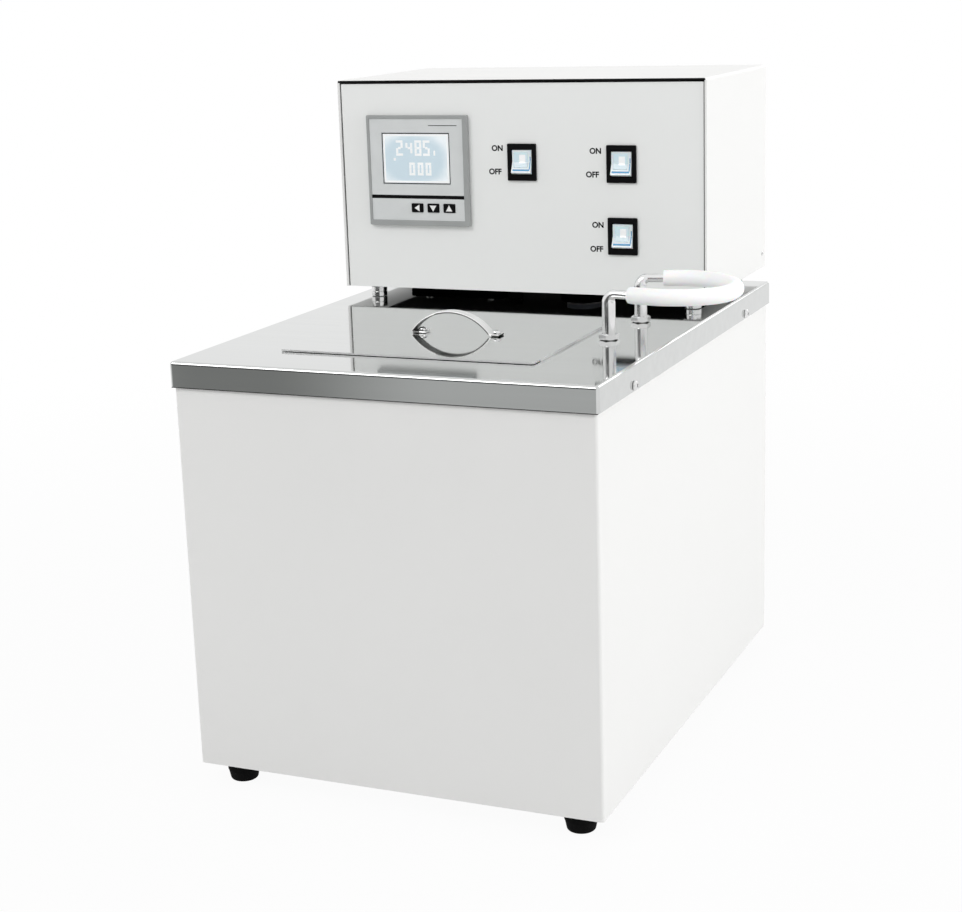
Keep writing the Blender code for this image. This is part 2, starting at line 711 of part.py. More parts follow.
def build_tank():
    """The stainless tank under the top plate, and the insulation round it."""
    length = TANK_REAR - TANK_FRONT
    centre_y = (TANK_REAR + TANK_FRONT) / 2
    top = PLATE_UNDER - SEAT_GAP
    tank = open_box(
        "inner_tank",
        (TANK_LEFT, TANK_FRONT, TANK_FLOOR),
        (TANK_RIGHT, TANK_REAR, top),
        STAINLESS,
        (Z_AXIS,),
    )
    round_edges(tank, TANK_CORNER_RADIUS, 3)
    thicken(tank, TANK_SHEET, 1)
    cavity = TANK_SHEET + SEAT_GAP
    jacket = cavity + INSULATION
    floor = TANK_FLOOR - jacket
    wool = block(
        "tank_insulation",
        (TANK_WIDTH + 2 * jacket, length + 2 * jacket, top - floor),
        (WORKS_OFFSET, centre_y, (top + floor) / 2),
        MINERAL_WOOL,
    )
    low = TANK_FLOOR - cavity
    cut_block(
        wool,
        "tank_space",
        (TANK_WIDTH + 2 * cavity, length + 2 * cavity, top + OVERRUN - low),
        (WORKS_OFFSET, centre_y, (top + OVERRUN + low) / 2),
    )


def build_lid():
    """The loose lid, the ring that centres it in the opening, and its handle."""
    lid = block(
        "lid",
        (LID_WIDTH, LID_DEPTH, LID_SHEET),
        (WORKS_OFFSET, LID_CENTRE_Y, LID_BASE + LID_SHEET / 2),
        STAINLESS,
    )
    inset = LID_OVERLAP + LID_RING_PLAY
    half_width, half_depth = LID_WIDTH / 2 - inset, LID_DEPTH / 2 - inset
    ring_top = LID_BASE - SEAT_GAP
    ring = open_box(
        "lid_locating_ring",
        (WORKS_OFFSET - half_width, LID_CENTRE_Y - half_depth, ring_top - LID_RING_HEIGHT),
        (WORKS_OFFSET + half_width, LID_CENTRE_Y + half_depth, ring_top),
        STAINLESS,
        (Z_AXIS, -Z_AXIS),
    )
    round_edges(ring, LID_RING_CORNER_RADIUS, 2)
    thicken(ring, LID_RING_SHEET, -1)
    handle = build_handle()
    tab_top = LID_TOP + SEAT_GAP + HANDLE_SHEET
    from_edge = SCREW_HEAD_RADIUS + SEAT_GAP
    ends = {
        "left": WORKS_OFFSET - HANDLE_SPAN / 2 + HANDLE_TAB_LEFT - from_edge,
        "right": WORKS_OFFSET + HANDLE_SPAN / 2 + HANDLE_TAB_RIGHT - from_edge,
    }
    screws = []
    for side_name, x in ends.items():
        name = f"handle_screw_{side_name}"
        depth = HANDLE_SHEET + LID_SHEET + SEAT_GAP
        screws.append(pan_screw(name, (x, LID_CENTRE_Y, tab_top), Z_AXIS, depth))
        hole = SCREW_SHANK_RADIUS + SEAT_GAP
        length = 2 * (HANDLE_SHEET + LID_SHEET)
        for piece in (lid, handle):
            cut_rod(piece, f"{name}_{piece.name}", hole, length, (x, LID_CENTRE_Y, LID_TOP))
    carry(lid, ring, handle, *screws)


def build_handle():
    """An arched strip whose two feet are turned the same way, each with a screw."""
    half_span = HANDLE_SPAN / 2
    radius = (half_span**2 + HANDLE_RISE**2) / (2 * HANDLE_RISE)
    half_turn = math.asin(half_span / radius)
    drop = radius - HANDLE_RISE
    profile = [(-half_span + HANDLE_TAB_LEFT, 0)]
    for i in range(HANDLE_SEGMENTS + 1):
        turn = half_turn * (2 * i / HANDLE_SEGMENTS - 1)
        profile.append((radius * math.sin(turn), radius * math.cos(turn) - drop))
    profile.append((half_span + HANDLE_TAB_RIGHT, 0))
    shape = bmesh.new()
    rows = [
        [shape.verts.new((x, side * HANDLE_WIDTH / 2, z)) for side in (-1, 1)]
        for x, z in profile
    ]
    for (a, b), (c, d) in zip(rows, rows[1:]):
        shape.faces.new((a, c, d, b))
    mesh = bpy.data.meshes.new("lid_handle")
    shape.to_mesh(mesh)
    shape.free()
    base = LID_TOP + SEAT_GAP + HANDLE_SHEET / 2
    handle = add_object("lid_handle", mesh, BRIGHT_STEEL, (WORKS_OFFSET, LID_CENTRE_Y, base))
    thicken(handle, HANDLE_SHEET, 0)
    return handle


def build_pipes():
    """Two stainless pipes with turned-over spigots, and a nut on each."""
    share = SPIGOT_RADIUS / PIPE_RADIUS
    shares = [1, *[1 + (share - 1) * i / BEND_STEPS for i in range(BEND_STEPS + 1)], share]
    bore_radius = PIPE_RADIUS - PIPE_WALL
    bore_shares = [(s * PIPE_RADIUS - PIPE_WALL) / bore_radius for s in shares]
    for name, y, drop, turn in (
        ("return_pipe", PIPE_FRONT_Y, RETURN_PIPE_DROP, -SPIGOT_TURN),
        ("outlet_pipe", PIPE_REAR_Y, OUTLET_PIPE_DROP, SPIGOT_TURN),
    ):
        end_x = PIPE_X + SPIGOT_REACH * math.cos(turn)
        end_y = y + SPIGOT_REACH * math.sin(turn)
        corners = (
            (PIPE_X, y, PLATE_TOP - drop),
            (PIPE_X, y, SPIGOT_HEIGHT),
            (end_x, end_y, SPIGOT_HEIGHT),
        )
        path = bent_path(corners, PIPE_BEND_RADIUS)
        pipe = tube(name, path, PIPE_RADIUS, BRIGHT_STEEL, shares, TUBE_RESOLUTION + 1)
        hollow(pipe, path, bore_radius, bore_shares)
        corner_radius = NUT_ACROSS_FLATS / math.sqrt(3)
        height = PLATE_TOP + SEAT_GAP + NUT_HEIGHT / 2
        place = (PIPE_X, y, height)
        nut = rod(name + "_nut", corner_radius, NUT_HEIGHT, place, BRIGHT_STEEL, steps=HEX_SIDES)
        cut_rod(nut, name + "_nut_bore", PIPE_RADIUS + SEAT_GAP, NUT_HEIGHT + OVERRUN, place)


def build_hose():
    """The silicone hose that bridges the two spigots."""
    path = smooth_path(HOSE_ROUTE, HOSE_STEP)
    hose = tube("circulation_hose", path, HOSE_RADIUS, SILICONE, resolution=TUBE_RESOLUTION + 1)
    hollow(hose, path, SPIGOT_RADIUS + SEAT_GAP, resolution=TUBE_RESOLUTION + 1)


def build_posts():
    for depth_name, y in (("front", HEAD_FRONT + POST_INSET), ("rear", CASE_REAR - POST_REAR_INSET)):
        for side_name, side in (("left", -1), ("right", 1)):
            place = (side * POST_SPREAD, y, PLATE_TOP + HEAD_GAP / 2)
            name = f"head_post_{depth_name}_{side_name}"
            rod(name, POST_RADIUS, HEAD_GAP - 2 * SEAT_GAP, place, BRIGHT_STEEL, steps=POST_STEPS)


def build_head():
    """The head's wrap-round cover, its tray and its two panels."""
    cover = open_box(
        "head_cover",
        (HEAD_LEFT, HEAD_FRONT, HEAD_BASE),
        (HEAD_RIGHT, HEAD_REAR, HEAD_TOP),
        CASE_PAINT,
        (-Z_AXIS, Y_AXIS, -Y_AXIS),
    )
    round_edges(cover, HEAD_EDGE_RADIUS, 3)
    thicken(cover, HEAD_SHEET, -1)
    side_gap = HEAD_SHEET + SEAT_GAP
    tray = open_box(
        "head_tray",
        (HEAD_LEFT + side_gap, PANEL_BACK + SEAT_GAP, HEAD_BASE),
        (HEAD_RIGHT - side_gap, REAR_FACE - PANEL_SHEET - SEAT_GAP, HEAD_BASE + TRAY_FLANGE),
        DARK_ENAMEL,
        (Z_AXIS,),
    )
    thicken(tray, HEAD_SHEET, -1)
    motor_hole = MOTOR_BOSS_RADIUS + SEAT_GAP
    cut_rod(tray, "motor_hole", motor_hole, 2 * OVERRUN, (PUMP_X, PUMP_Y, HEAD_BASE), steps=ROUND_STEPS)
    width = HEAD_WIDTH - 2 * side_gap
    height = HEAD_HEIGHT - side_gap
    middle = HEAD_BASE + height / 2
    size = (width, PANEL_SHEET, height)
    front = block("front_panel", size, (HEAD_OFFSET, PANEL_FACE + PANEL_SHEET / 2, middle), PANEL_PAINT)
    rear = block("rear_panel", size, (HEAD_OFFSET, REAR_FACE - PANEL_SHEET / 2, middle), CASE_PAINT)
    for i in range(VENT_SLOTS):
        x = HEAD_OFFSET + VENT_OFFSET + (i - (VENT_SLOTS - 1) / 2) * VENT_PITCH
        slot = (VENT_WIDTH, PANEL_SHEET + 2 * OVERRUN, VENT_HEIGHT)
        cut_block(rear, f"vent_{i + 1}", slot, (x, REAR_FACE, HEAD_BASE + VENT_CENTRE_UP))
    return front, rear


def build_controller(panel):
    """The temperature controller: its housing, the display's window and three keys."""
    left = HEAD_LEFT + CONTROLLER_LEFT
    top = HEAD_TOP - CONTROLLER_DROP
    centre_x = left + CONTROLLER_SIDE / 2
    centre_z = top - CONTROLLER_SIDE / 2
    bezel_back = PANEL_FACE - SEAT_GAP
    face = bezel_back - CONTROLLER_PROUD
    housing = block(
        "controller_housing",
        (CONTROLLER_SIDE, CONTROLLER_PROUD, CONTROLLER_SIDE),
        (centre_x, (face + bezel_back) / 2, centre_z),
        GREY_PLASTIC,
    )
    body = block(
        "controller_body_joined",
        (CONTROLLER_BODY, CONTROLLER_DEPTH, CONTROLLER_BODY),
        (centre_x, bezel_back - CONTROLLER_PROUD / 2 + CONTROLLER_DEPTH / 2, centre_z),
        None,
    )
    combine(housing, body, "UNION")
    cutout = CONTROLLER_BODY + 2 * SEAT_GAP
    cut_block(panel, "controller_cutout", (cutout, 2 * OVERRUN, cutout), (centre_x, PANEL_FACE, centre_z))
    recess_width = CONTROLLER_SIDE - CONTROLLER_FRAME_LEFT - CONTROLLER_FRAME_RIGHT
    recess_height = CONTROLLER_SIDE - CONTROLLER_FRAME_TOP - CONTROLLER_FRAME_FOOT
    cut_block(
        housing,
        "controller_face",
        (recess_width, 2 * CONTROLLER_FACE_DEPTH, recess_height),
        (left + CONTROLLER_FRAME_LEFT + recess_width / 2, face, top - CONTROLLER_FRAME_TOP - recess_height / 2),
    )
    inner_face = face + CONTROLLER_FACE_DEPTH
    window_x = left + WINDOW_LEFT + WINDOW_WIDTH / 2
    window_z = top - WINDOW_DROP - WINDOW_HEIGHT / 2
    pocket = WINDOW_DEPTH + WINDOW_SUNK + SEAT_GAP
    cut_block(
        housing,
        "window_pocket",
        (WINDOW_WIDTH + 2 * SEAT_GAP, 2 * pocket, WINDOW_HEIGHT + 2 * SEAT_GAP),
        (window_x, inner_face, window_z),
    )
    window_y = inner_face + WINDOW_SUNK + WINDOW_DEPTH / 2
    window_size = (WINDOW_WIDTH, WINDOW_DEPTH, WINDOW_HEIGHT)
    block("controller_window", window_size, (window_x, window_y, window_z), DISPLAY_GLASS)
    key_z = top - KEY_DROP
    for i, name in enumerate(("shift", "down", "up")):
        key_x = left + KEY_FIRST + i * KEY_PITCH
        key_y = inner_face - KEY_PROUD + KEY_DEPTH / 2
        key = block(f"key_{name}", (KEY_WIDTH, KEY_DEPTH, KEY_HEIGHT), (key_x, key_y, key_z), BLACK_PLASTIC)
        round_edges(key, KEY_ROUNDING, 2)
        depth = KEY_DEPTH - KEY_PROUD + KEY_TRAVEL + SEAT_GAP
        hole = (KEY_WIDTH + 2 * SEAT_GAP, 2 * depth, KEY_HEIGHT + 2 * SEAT_GAP)
        cut_block(housing, f"key_{name}_pocket", hole, (key_x, inner_face, key_z))


def rocker_outline():
    """Depth and height pairs of a rocker's side about its pivot, both halves level."""
    front_turn = ROCKER_ANGLE + math.asin(ROCKER_VALLEY * math.cos(ROCKER_ANGLE) / ROCKER_RADIUS)
    back_turn = -math.asin(ROCKER_BACK / ROCKER_RADIUS)
    upper = []
    for i in range(ROCKER_ARC_STEPS + 1):
        turn = front_turn + (back_turn - front_turn) * i / ROCKER_ARC_STEPS
        upper.append((-ROCKER_RADIUS * math.sin(turn), ROCKER_RADIUS * math.cos(turn)))
    lower = [(y, -z) for y, z in reversed(upper)]
    return [(-ROCKER_VALLEY, 0), *upper, *lower]


def build_switches(panel):
    """Three rocker switches, each standing in its on position."""
    for name, (across, above) in SWITCH_PLACES.items():
        x, z = HEAD_OFFSET + across, (HEAD_BASE + HEAD_TOP) / 2 + above
        bezel_back = PANEL_FACE - SEAT_GAP
        face = bezel_back - SWITCH_PROUD
        frame = block(
            f"{name}_switch_frame",
            (SWITCH_WIDTH, SWITCH_PROUD, SWITCH_HEIGHT),
            (x, (face + bezel_back) / 2, z),
            BLACK_PLASTIC,
        )
        body_size = (SWITCH_BODY_WIDTH, SWITCH_BODY_DEPTH, SWITCH_BODY_HEIGHT)
        body_y = bezel_back - SWITCH_PROUD / 2 + SWITCH_BODY_DEPTH / 2
        combine(frame, block(f"{name}_switch_body_joined", body_size, (x, body_y, z), None), "UNION")
        hole = (SWITCH_BODY_WIDTH + 2 * SEAT_GAP, 2 * OVERRUN, SWITCH_BODY_HEIGHT + 2 * SEAT_GAP)
        cut_block(panel, f"{name}_switch_cutout", hole, (x, PANEL_FACE, z))
        pivot_y = face + ROCKER_SINK
        reach = ROCKER_RADIUS + RUN_GAP
        depth = ROCKER_SINK + ROCKER_RADIUS * math.sin(ROCKER_ANGLE) + ROCKER_BACK + RUN_GAP
        pocket = (ROCKER_WIDTH + 2 * SEAT_GAP, 2 * depth, 2 * reach)
        cut_block(frame, f"{name}_rocker_pocket", pocket, (x, face, z))
        rocker = add_object(
            f"{name}_rocker",
            extruded_mesh(f"{name}_rocker", rocker_outline(), ROCKER_WIDTH),
            ROCKER_PLASTIC,
            (x, pivot_y, z),
        )
        rocker.rotation_euler = (-ROCKER_ANGLE, 0, 0)


def build_motor():
    """The pump's motor on the tray, with its shaft and cooling fan."""
    bore = SHAFT_RADIUS + RUN_GAP
    base = TRAY_TOP + SEAT_GAP
    top = base + MOTOR_HEIGHT
    outline = [(bore, top), (MOTOR_RADIUS - MOTOR_GROOVE_DEPTH, top)]
    pitch = MOTOR_HEIGHT / (2 * MOTOR_GROOVES + 1)
    for i in range(MOTOR_GROOVES + 1):
        high = top - 2 * i * pitch
        outline += [(MOTOR_RADIUS, high - MOTOR_GROOVE_DRAFT), (MOTOR_RADIUS, high - pitch)]
        if i < MOTOR_GROOVES:
            inner = MOTOR_RADIUS - MOTOR_GROOVE_DEPTH
            outline += [(inner, high - pitch - MOTOR_GROOVE_DRAFT), (inner, high - 2 * pitch)]
    boss_base = base - MOTOR_BOSS_HEIGHT
    outline += [(MOTOR_BOSS_RADIUS, base), (MOTOR_BOSS_RADIUS, boss_base), (bore, boss_base)]
    turned("pump_motor", outline, (PUMP_X, PUMP_Y, 0), MOTOR_PAINT, closed=True)
    fan_base = top + RUN_GAP
    fan_top = fan_base + FAN_HEIGHT
    impeller_base = PUMP_MOUTH + RUN_GAP
    shaft_length = fan_top - impeller_base
    shaft_middle = (fan_top + impeller_base) / 2
    shaft = rod("pump_shaft", SHAFT_RADIUS, shaft_length, (PUMP_X, PUMP_Y, shaft_middle), BRIGHT_STEEL)
    fan = bladed_wheel(
        "motor_fan",
        fan_base,
        FAN_HEIGHT,
        FAN_HUB_RADIUS,
        FAN_RADIUS,
        FAN_BLADES,
        BLACK_PLASTIC,
    )
    impeller = bladed_wheel(
        "pump_impeller",
        impeller_base,
        IMPELLER_HEIGHT,
        IMPELLER_HUB_RADIUS,
        IMPELLER_RADIUS,
        IMPELLER_BLADES,
        STAINLESS,
    )
    carry(shaft, fan, impeller)


def bladed_wheel(name, base, height, hub_radius, radius, blades, surface):
    """A bored hub with straight blades, on the pump's axis."""
    centre = (PUMP_X, PUMP_Y, base + height / 2)
    hub = rod(name, hub_radius, height, centre, surface, steps=ROUND_STEPS)
    root = (SHAFT_RADIUS + hub_radius) / 2
    blade_size = (radius - root, BLADE_SHEET, height * BLADE_HEIGHT_SHARE, 1)
    blade = Matrix.Translation(((root + radius) / 2, 0, 0)) @ Matrix.Diagonal(blade_size)
    shape = bmesh.new()
    for i in range(blades):
        spin = Matrix.Rotation(2 * math.pi * i / blades, 4, "Z")
        bmesh.ops.create_cube(shape, size=1, matrix=spin @ blade)
    blades_mesh = mesh_from(shape, name + "_blades")
    combine(hub, add_object(name + "_blades_joined", blades_mesh, None, centre), "UNION")
    cut_rod(hub, name + "_bore", SHAFT_RADIUS + SEAT_GAP, height + OVERRUN, centre)
    return hub


def build_pump():
    """The column that hangs in the tank, its bearing, the pump's housing and the delivery pipe."""
    flange_top = PLATE_TOP + SEAT_GAP + COLUMN_FLANGE_HEIGHT
    flange_base = PLATE_TOP + SEAT_GAP
    inner = COLUMN_RADIUS - COLUMN_WALL
    foot = PUMP_TOP + SEAT_GAP
    outline = [
        (inner, flange_top),
        (COLUMN_FLANGE_RADIUS, flange_top),
        (COLUMN_FLANGE_RADIUS, flange_base),
        (COLUMN_RADIUS, flange_base),
        (COLUMN_RADIUS, foot),
        (inner, foot),
    ]
    axis = (PUMP_X, PUMP_Y, 0)
    turned("pump_column", outline, axis, STAINLESS, closed=True)
    bore = SHAFT_RADIUS + RUN_GAP
    bearing_top = foot + BEARING_HEIGHT
    outline = [
        (bore, bearing_top),
        (inner - SEAT_GAP, bearing_top),
        (inner - SEAT_GAP, foot),
        (bore, foot),
    ]
    turned("shaft_bearing", outline, axis, BRONZE, closed=True)
    chamber = PUMP_RADIUS - PUMP_WALL
    outline = [
        (bore, PUMP_TOP),
        (PUMP_RADIUS, PUMP_TOP),
        (PUMP_RADIUS, PUMP_MOUTH),
        (chamber, PUMP_MOUTH),
        (chamber, PUMP_TOP - PUMP_WALL),
        (bore, PUMP_TOP - PUMP_WALL),
    ]
    housing = turned("pump_housing", outline, axis, STAINLESS, closed=True)
    port_z = (PUMP_MOUTH + PUMP_TOP - PUMP_WALL) / 2
    port_x = PUMP_X + PUMP_RADIUS
    port = (port_x, PUMP_Y, port_z)
    cut_rod(housing, "delivery_port", DELIVERY_RADIUS + SEAT_GAP, 2 * OVERRUN + PUMP_WALL, port, X_AXIS)
    corners = (
        (port_x - PUMP_WALL / 2, PUMP_Y, port_z),
        (PIPE_X, PUMP_Y, port_z),
        (PIPE_X, PIPE_REAR_Y, port_z),
        (PIPE_X, PIPE_REAR_Y, PLATE_TOP - OUTLET_PIPE_DROP - SEAT_GAP),
    )
    path = bent_path(corners, DELIVERY_BEND)
    delivery = tube("delivery_pipe", path, DELIVERY_RADIUS, STAINLESS)
    hollow(delivery, path, DELIVERY_RADIUS - DELIVERY_WALL)


def build_heater():
    """The heating element's loop in the rear of the tank, and the flange that holds it."""
    back = HEATER_Y
    front = HEATER_Y - HEATER_REACH
    fold = HEATER_Y - HEATER_FOLD_SPACE
    low = TANK_FLOOR + HEATER_FLOOR_GAP
    high = PLATE_TOP + SEAT_GAP + FLANGE_SHEET + HEATER_STUB
    pitch = (HEATER_RIGHT - HEATER_LEFT) / HEATER_RUNS
    corners = (
        (HEATER_LEFT, back, high),
        (HEATER_LEFT, back, low),
        (HEATER_LEFT, front, low),
        (HEATER_LEFT + pitch, front, low),
        (HEATER_LEFT + pitch, fold, low),
        (HEATER_RIGHT - pitch, fold, low),
        (HEATER_RIGHT - pitch, front, low),
        (HEATER_RIGHT, front, low),
        (HEATER_RIGHT, back, low),
        (HEATER_RIGHT, back, high),
    )
    path = bent_path(corners, HEATER_BEND, HEATER_BEND_STEPS)
    tube("heating_element", path, HEATER_RADIUS, STAINLESS)
    middle = (HEATER_LEFT + HEATER_RIGHT) / 2
    height = PLATE_TOP + SEAT_GAP + FLANGE_SHEET / 2
    size = (HEATER_FLANGE_WIDTH, HEATER_FLANGE_DEPTH, FLANGE_SHEET)
    flange = block("heater_flange", size, (middle, back, height), ZINC_STEEL)
    for side_name, x in (("left", HEATER_LEFT), ("right", HEATER_RIGHT)):
        hole = HEATER_RADIUS + SEAT_GAP
        cut_rod(flange, f"heater_flange_{side_name}", hole, FLANGE_SHEET + OVERRUN, (x, back, height))


def build_probe():
    """The temperature probe: a rod under a hexagonal boss."""
    y = PROBE_Y
    boss_base = PLATE_TOP + SEAT_GAP
    boss_middle = (PROBE_X, y, boss_base + PROBE_HEX_HEIGHT / 2)
    corner_radius = PROBE_HEX / math.sqrt(3)
    boss = rod(
        "temperature_probe",
        corner_radius,
        PROBE_HEX_HEIGHT,
        boss_middle,
        STAINLESS,
        steps=HEX_SIDES,
    )
    rod_top = boss_base + PROBE_HEX_HEIGHT / 2
    length = PROBE_LENGTH + PROBE_HEX_HEIGHT / 2
    stem_middle = (PROBE_X, y, rod_top - length / 2)
    stem = rod("temperature_probe_stem_joined", PROBE_RADIUS, length, stem_middle, None)
    combine(boss, stem, "UNION")


def build_electrics():
    """The relay and the terminal strip on the tray."""
    y = HEAD_REAR - ELECTRICS_INSET
    base = TRAY_TOP + SEAT_GAP
    relay_place = (HEAD_RIGHT - RELAY_INSET, y, base + RELAY_SIZE[2] / 2)
    relay = block("heater_relay", RELAY_SIZE, relay_place, BLACK_PLASTIC)
    round_edges(relay, RELAY_ROUNDING)
    width, depth, height = TERMINAL_SIZE
    centre_x = HEAD_LEFT + TERMINAL_INSET
    strip = block("terminal_strip", TERMINAL_SIZE, (centre_x, y, base + height / 2), WHITE_PLASTIC)
    pitch = width / TERMINAL_WAYS
    for i in range(TERMINAL_WAYS):
        x = centre_x - width / 2 + pitch * (i + TERMINAL_MIDDLE_SHARE)
        place = (x, y, base + height)
        radius = pitch * TERMINAL_SCREW_SHARE
        cut_rod(strip, f"terminal_{i + 1}", radius, height, place, steps=TERMINAL_STEPS)


def build_inlet(panel):
    """The mains inlet in the rear panel, with its three pins."""
    inlet_x = HEAD_OFFSET + INLET_OFFSET
    z = HEAD_BASE + INLET_UP
    seat = REAR_FACE + SEAT_GAP
    face = seat + INLET_FLANGE_SHEET
    flange_size = (INLET_FLANGE_WIDTH, INLET_FLANGE_SHEET, INLET_FLANGE_HEIGHT)
    inlet = block("mains_inlet", flange_size, (inlet_x, (seat + face) / 2, z), BLACK_PLASTIC)
    body_size = (INLET_BODY_WIDTH, INLET_BODY_DEPTH, INLET_BODY_HEIGHT)
    body_y = seat + INLET_FLANGE_SHEET / 2 - INLET_BODY_DEPTH / 2
    combine(inlet, block("inlet_body_joined", body_size, (inlet_x, body_y, z), None), "UNION")
    hole = (INLET_BODY_WIDTH + 2 * SEAT_GAP, 2 * OVERRUN, INLET_BODY_HEIGHT + 2 * SEAT_GAP)
    cut_block(panel, "inlet_cutout", hole, (inlet_x, REAR_FACE, z))
    socket_size = (INLET_SOCKET_WIDTH, 2 * INLET_SOCKET_DEPTH, INLET_SOCKET_HEIGHT)
    cut_block(inlet, "inlet_socket", socket_size, (inlet_x, face, z))
    floor = face - INLET_SOCKET_DEPTH
    places = {
        "line": (inlet_x - PIN_SPREAD, z - PIN_EARTH_RISE / 2),
        "earth": (inlet_x, z + PIN_EARTH_RISE / 2),
        "neutral": (inlet_x + PIN_SPREAD, z - PIN_EARTH_RISE / 2),
    }
    for name, (x, height) in places.items():
        size = (PIN_WIDTH, PIN_LENGTH, PIN_HEIGHT)
        block(f"inlet_pin_{name}", size, (x, floor + SEAT_GAP + PIN_LENGTH / 2, height), BRASS)


def main():
    build_casing()
    plate = build_top_plate()
    build_rim_screws(plate)
    build_tank()
    build_lid()
    build_pipes()
    build_hose()
    build_posts()
    front_panel, rear_panel = build_head()
    build_controller(front_panel)
    build_switches(front_panel)
    build_motor()
    build_pump()
    build_heater()
    build_probe()
    build_electrics()
    build_inlet(rear_panel)


main()
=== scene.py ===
"""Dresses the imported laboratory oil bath: fine shapes, finishes, studio and camera."""

from __future__ import annotations

import logging
import math
from dataclasses import dataclass
from enum import Enum
from typing import Any, Iterable, Sequence

import bmesh
import bpy
from mathutils import Matrix, Vector

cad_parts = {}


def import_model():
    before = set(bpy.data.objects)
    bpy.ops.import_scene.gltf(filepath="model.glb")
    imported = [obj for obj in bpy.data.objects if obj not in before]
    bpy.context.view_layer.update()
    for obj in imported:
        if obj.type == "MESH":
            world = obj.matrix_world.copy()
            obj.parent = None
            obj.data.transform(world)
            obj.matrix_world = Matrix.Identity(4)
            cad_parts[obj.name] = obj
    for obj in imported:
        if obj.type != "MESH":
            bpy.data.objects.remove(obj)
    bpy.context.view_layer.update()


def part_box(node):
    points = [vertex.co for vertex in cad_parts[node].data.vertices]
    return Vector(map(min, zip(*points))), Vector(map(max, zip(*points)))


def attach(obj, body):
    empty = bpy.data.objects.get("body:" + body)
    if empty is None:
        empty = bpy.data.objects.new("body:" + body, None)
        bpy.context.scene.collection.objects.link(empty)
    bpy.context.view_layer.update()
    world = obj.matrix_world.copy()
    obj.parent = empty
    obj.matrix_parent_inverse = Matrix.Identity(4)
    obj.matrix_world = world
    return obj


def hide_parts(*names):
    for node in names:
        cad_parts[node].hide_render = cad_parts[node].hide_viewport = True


LOG = logging.getLogger("oil_bath")
MM = 0.001
# How far a fixing reaches into what it is seated on, and the radius at which a turned solid
# starts, so that it has no faces without a width.
SEAT = 0.3 * MM
AXIS = 0.05 * MM
X_WAY, Y_WAY, Z_WAY = Vector((1, 0, 0)), Vector((0, 1, 0)), Vector((0, 0, 1))

Colour = tuple[float, float, float]
Ring = list[Vector]
Pairs = Sequence[tuple[float, float]]
ENDS = ("front_left", "front_right", "rear_left", "rear_right")


class Way(Enum):
    """The direction in which a sheet was brushed or rolled."""

    ALONG_X = (6.0, 420.0, 420.0)
    ALONG_Z = (420.0, 420.0, 6.0)
    NONE = (160.0, 160.0, 160.0)


class Socket:
    """A node's output that takes Python's operators, each of which adds a Math node."""

    def __init__(self, graph: Graph, link: bpy.types.NodeSocket) -> None:
        """Keeps the graph and the output."""
        self.graph = graph
        self.link = link

    def _math(self, operation: str, left: Any, right: Any) -> Socket:
        """Adds one Math node."""
        return self.graph.node("ShaderNodeMath", {"operation": operation}, {0: left, 1: right})

    def __add__(self, other: Any) -> Socket:
        """Self plus other."""
        return self._math("ADD", self, other)

    __radd__ = __add__

    def __mul__(self, other: Any) -> Socket:
        """Self times other."""
        return self._math("MULTIPLY", self, other)

    __rmul__ = __mul__

    def __pow__(self, other: Any) -> Socket:
        """Self to the power of other."""
        return self._math("POWER", self, other)

    def __or__(self, other: Any) -> Socket:
        """The larger of self and other."""
        return self._math("MAXIMUM", self, other)


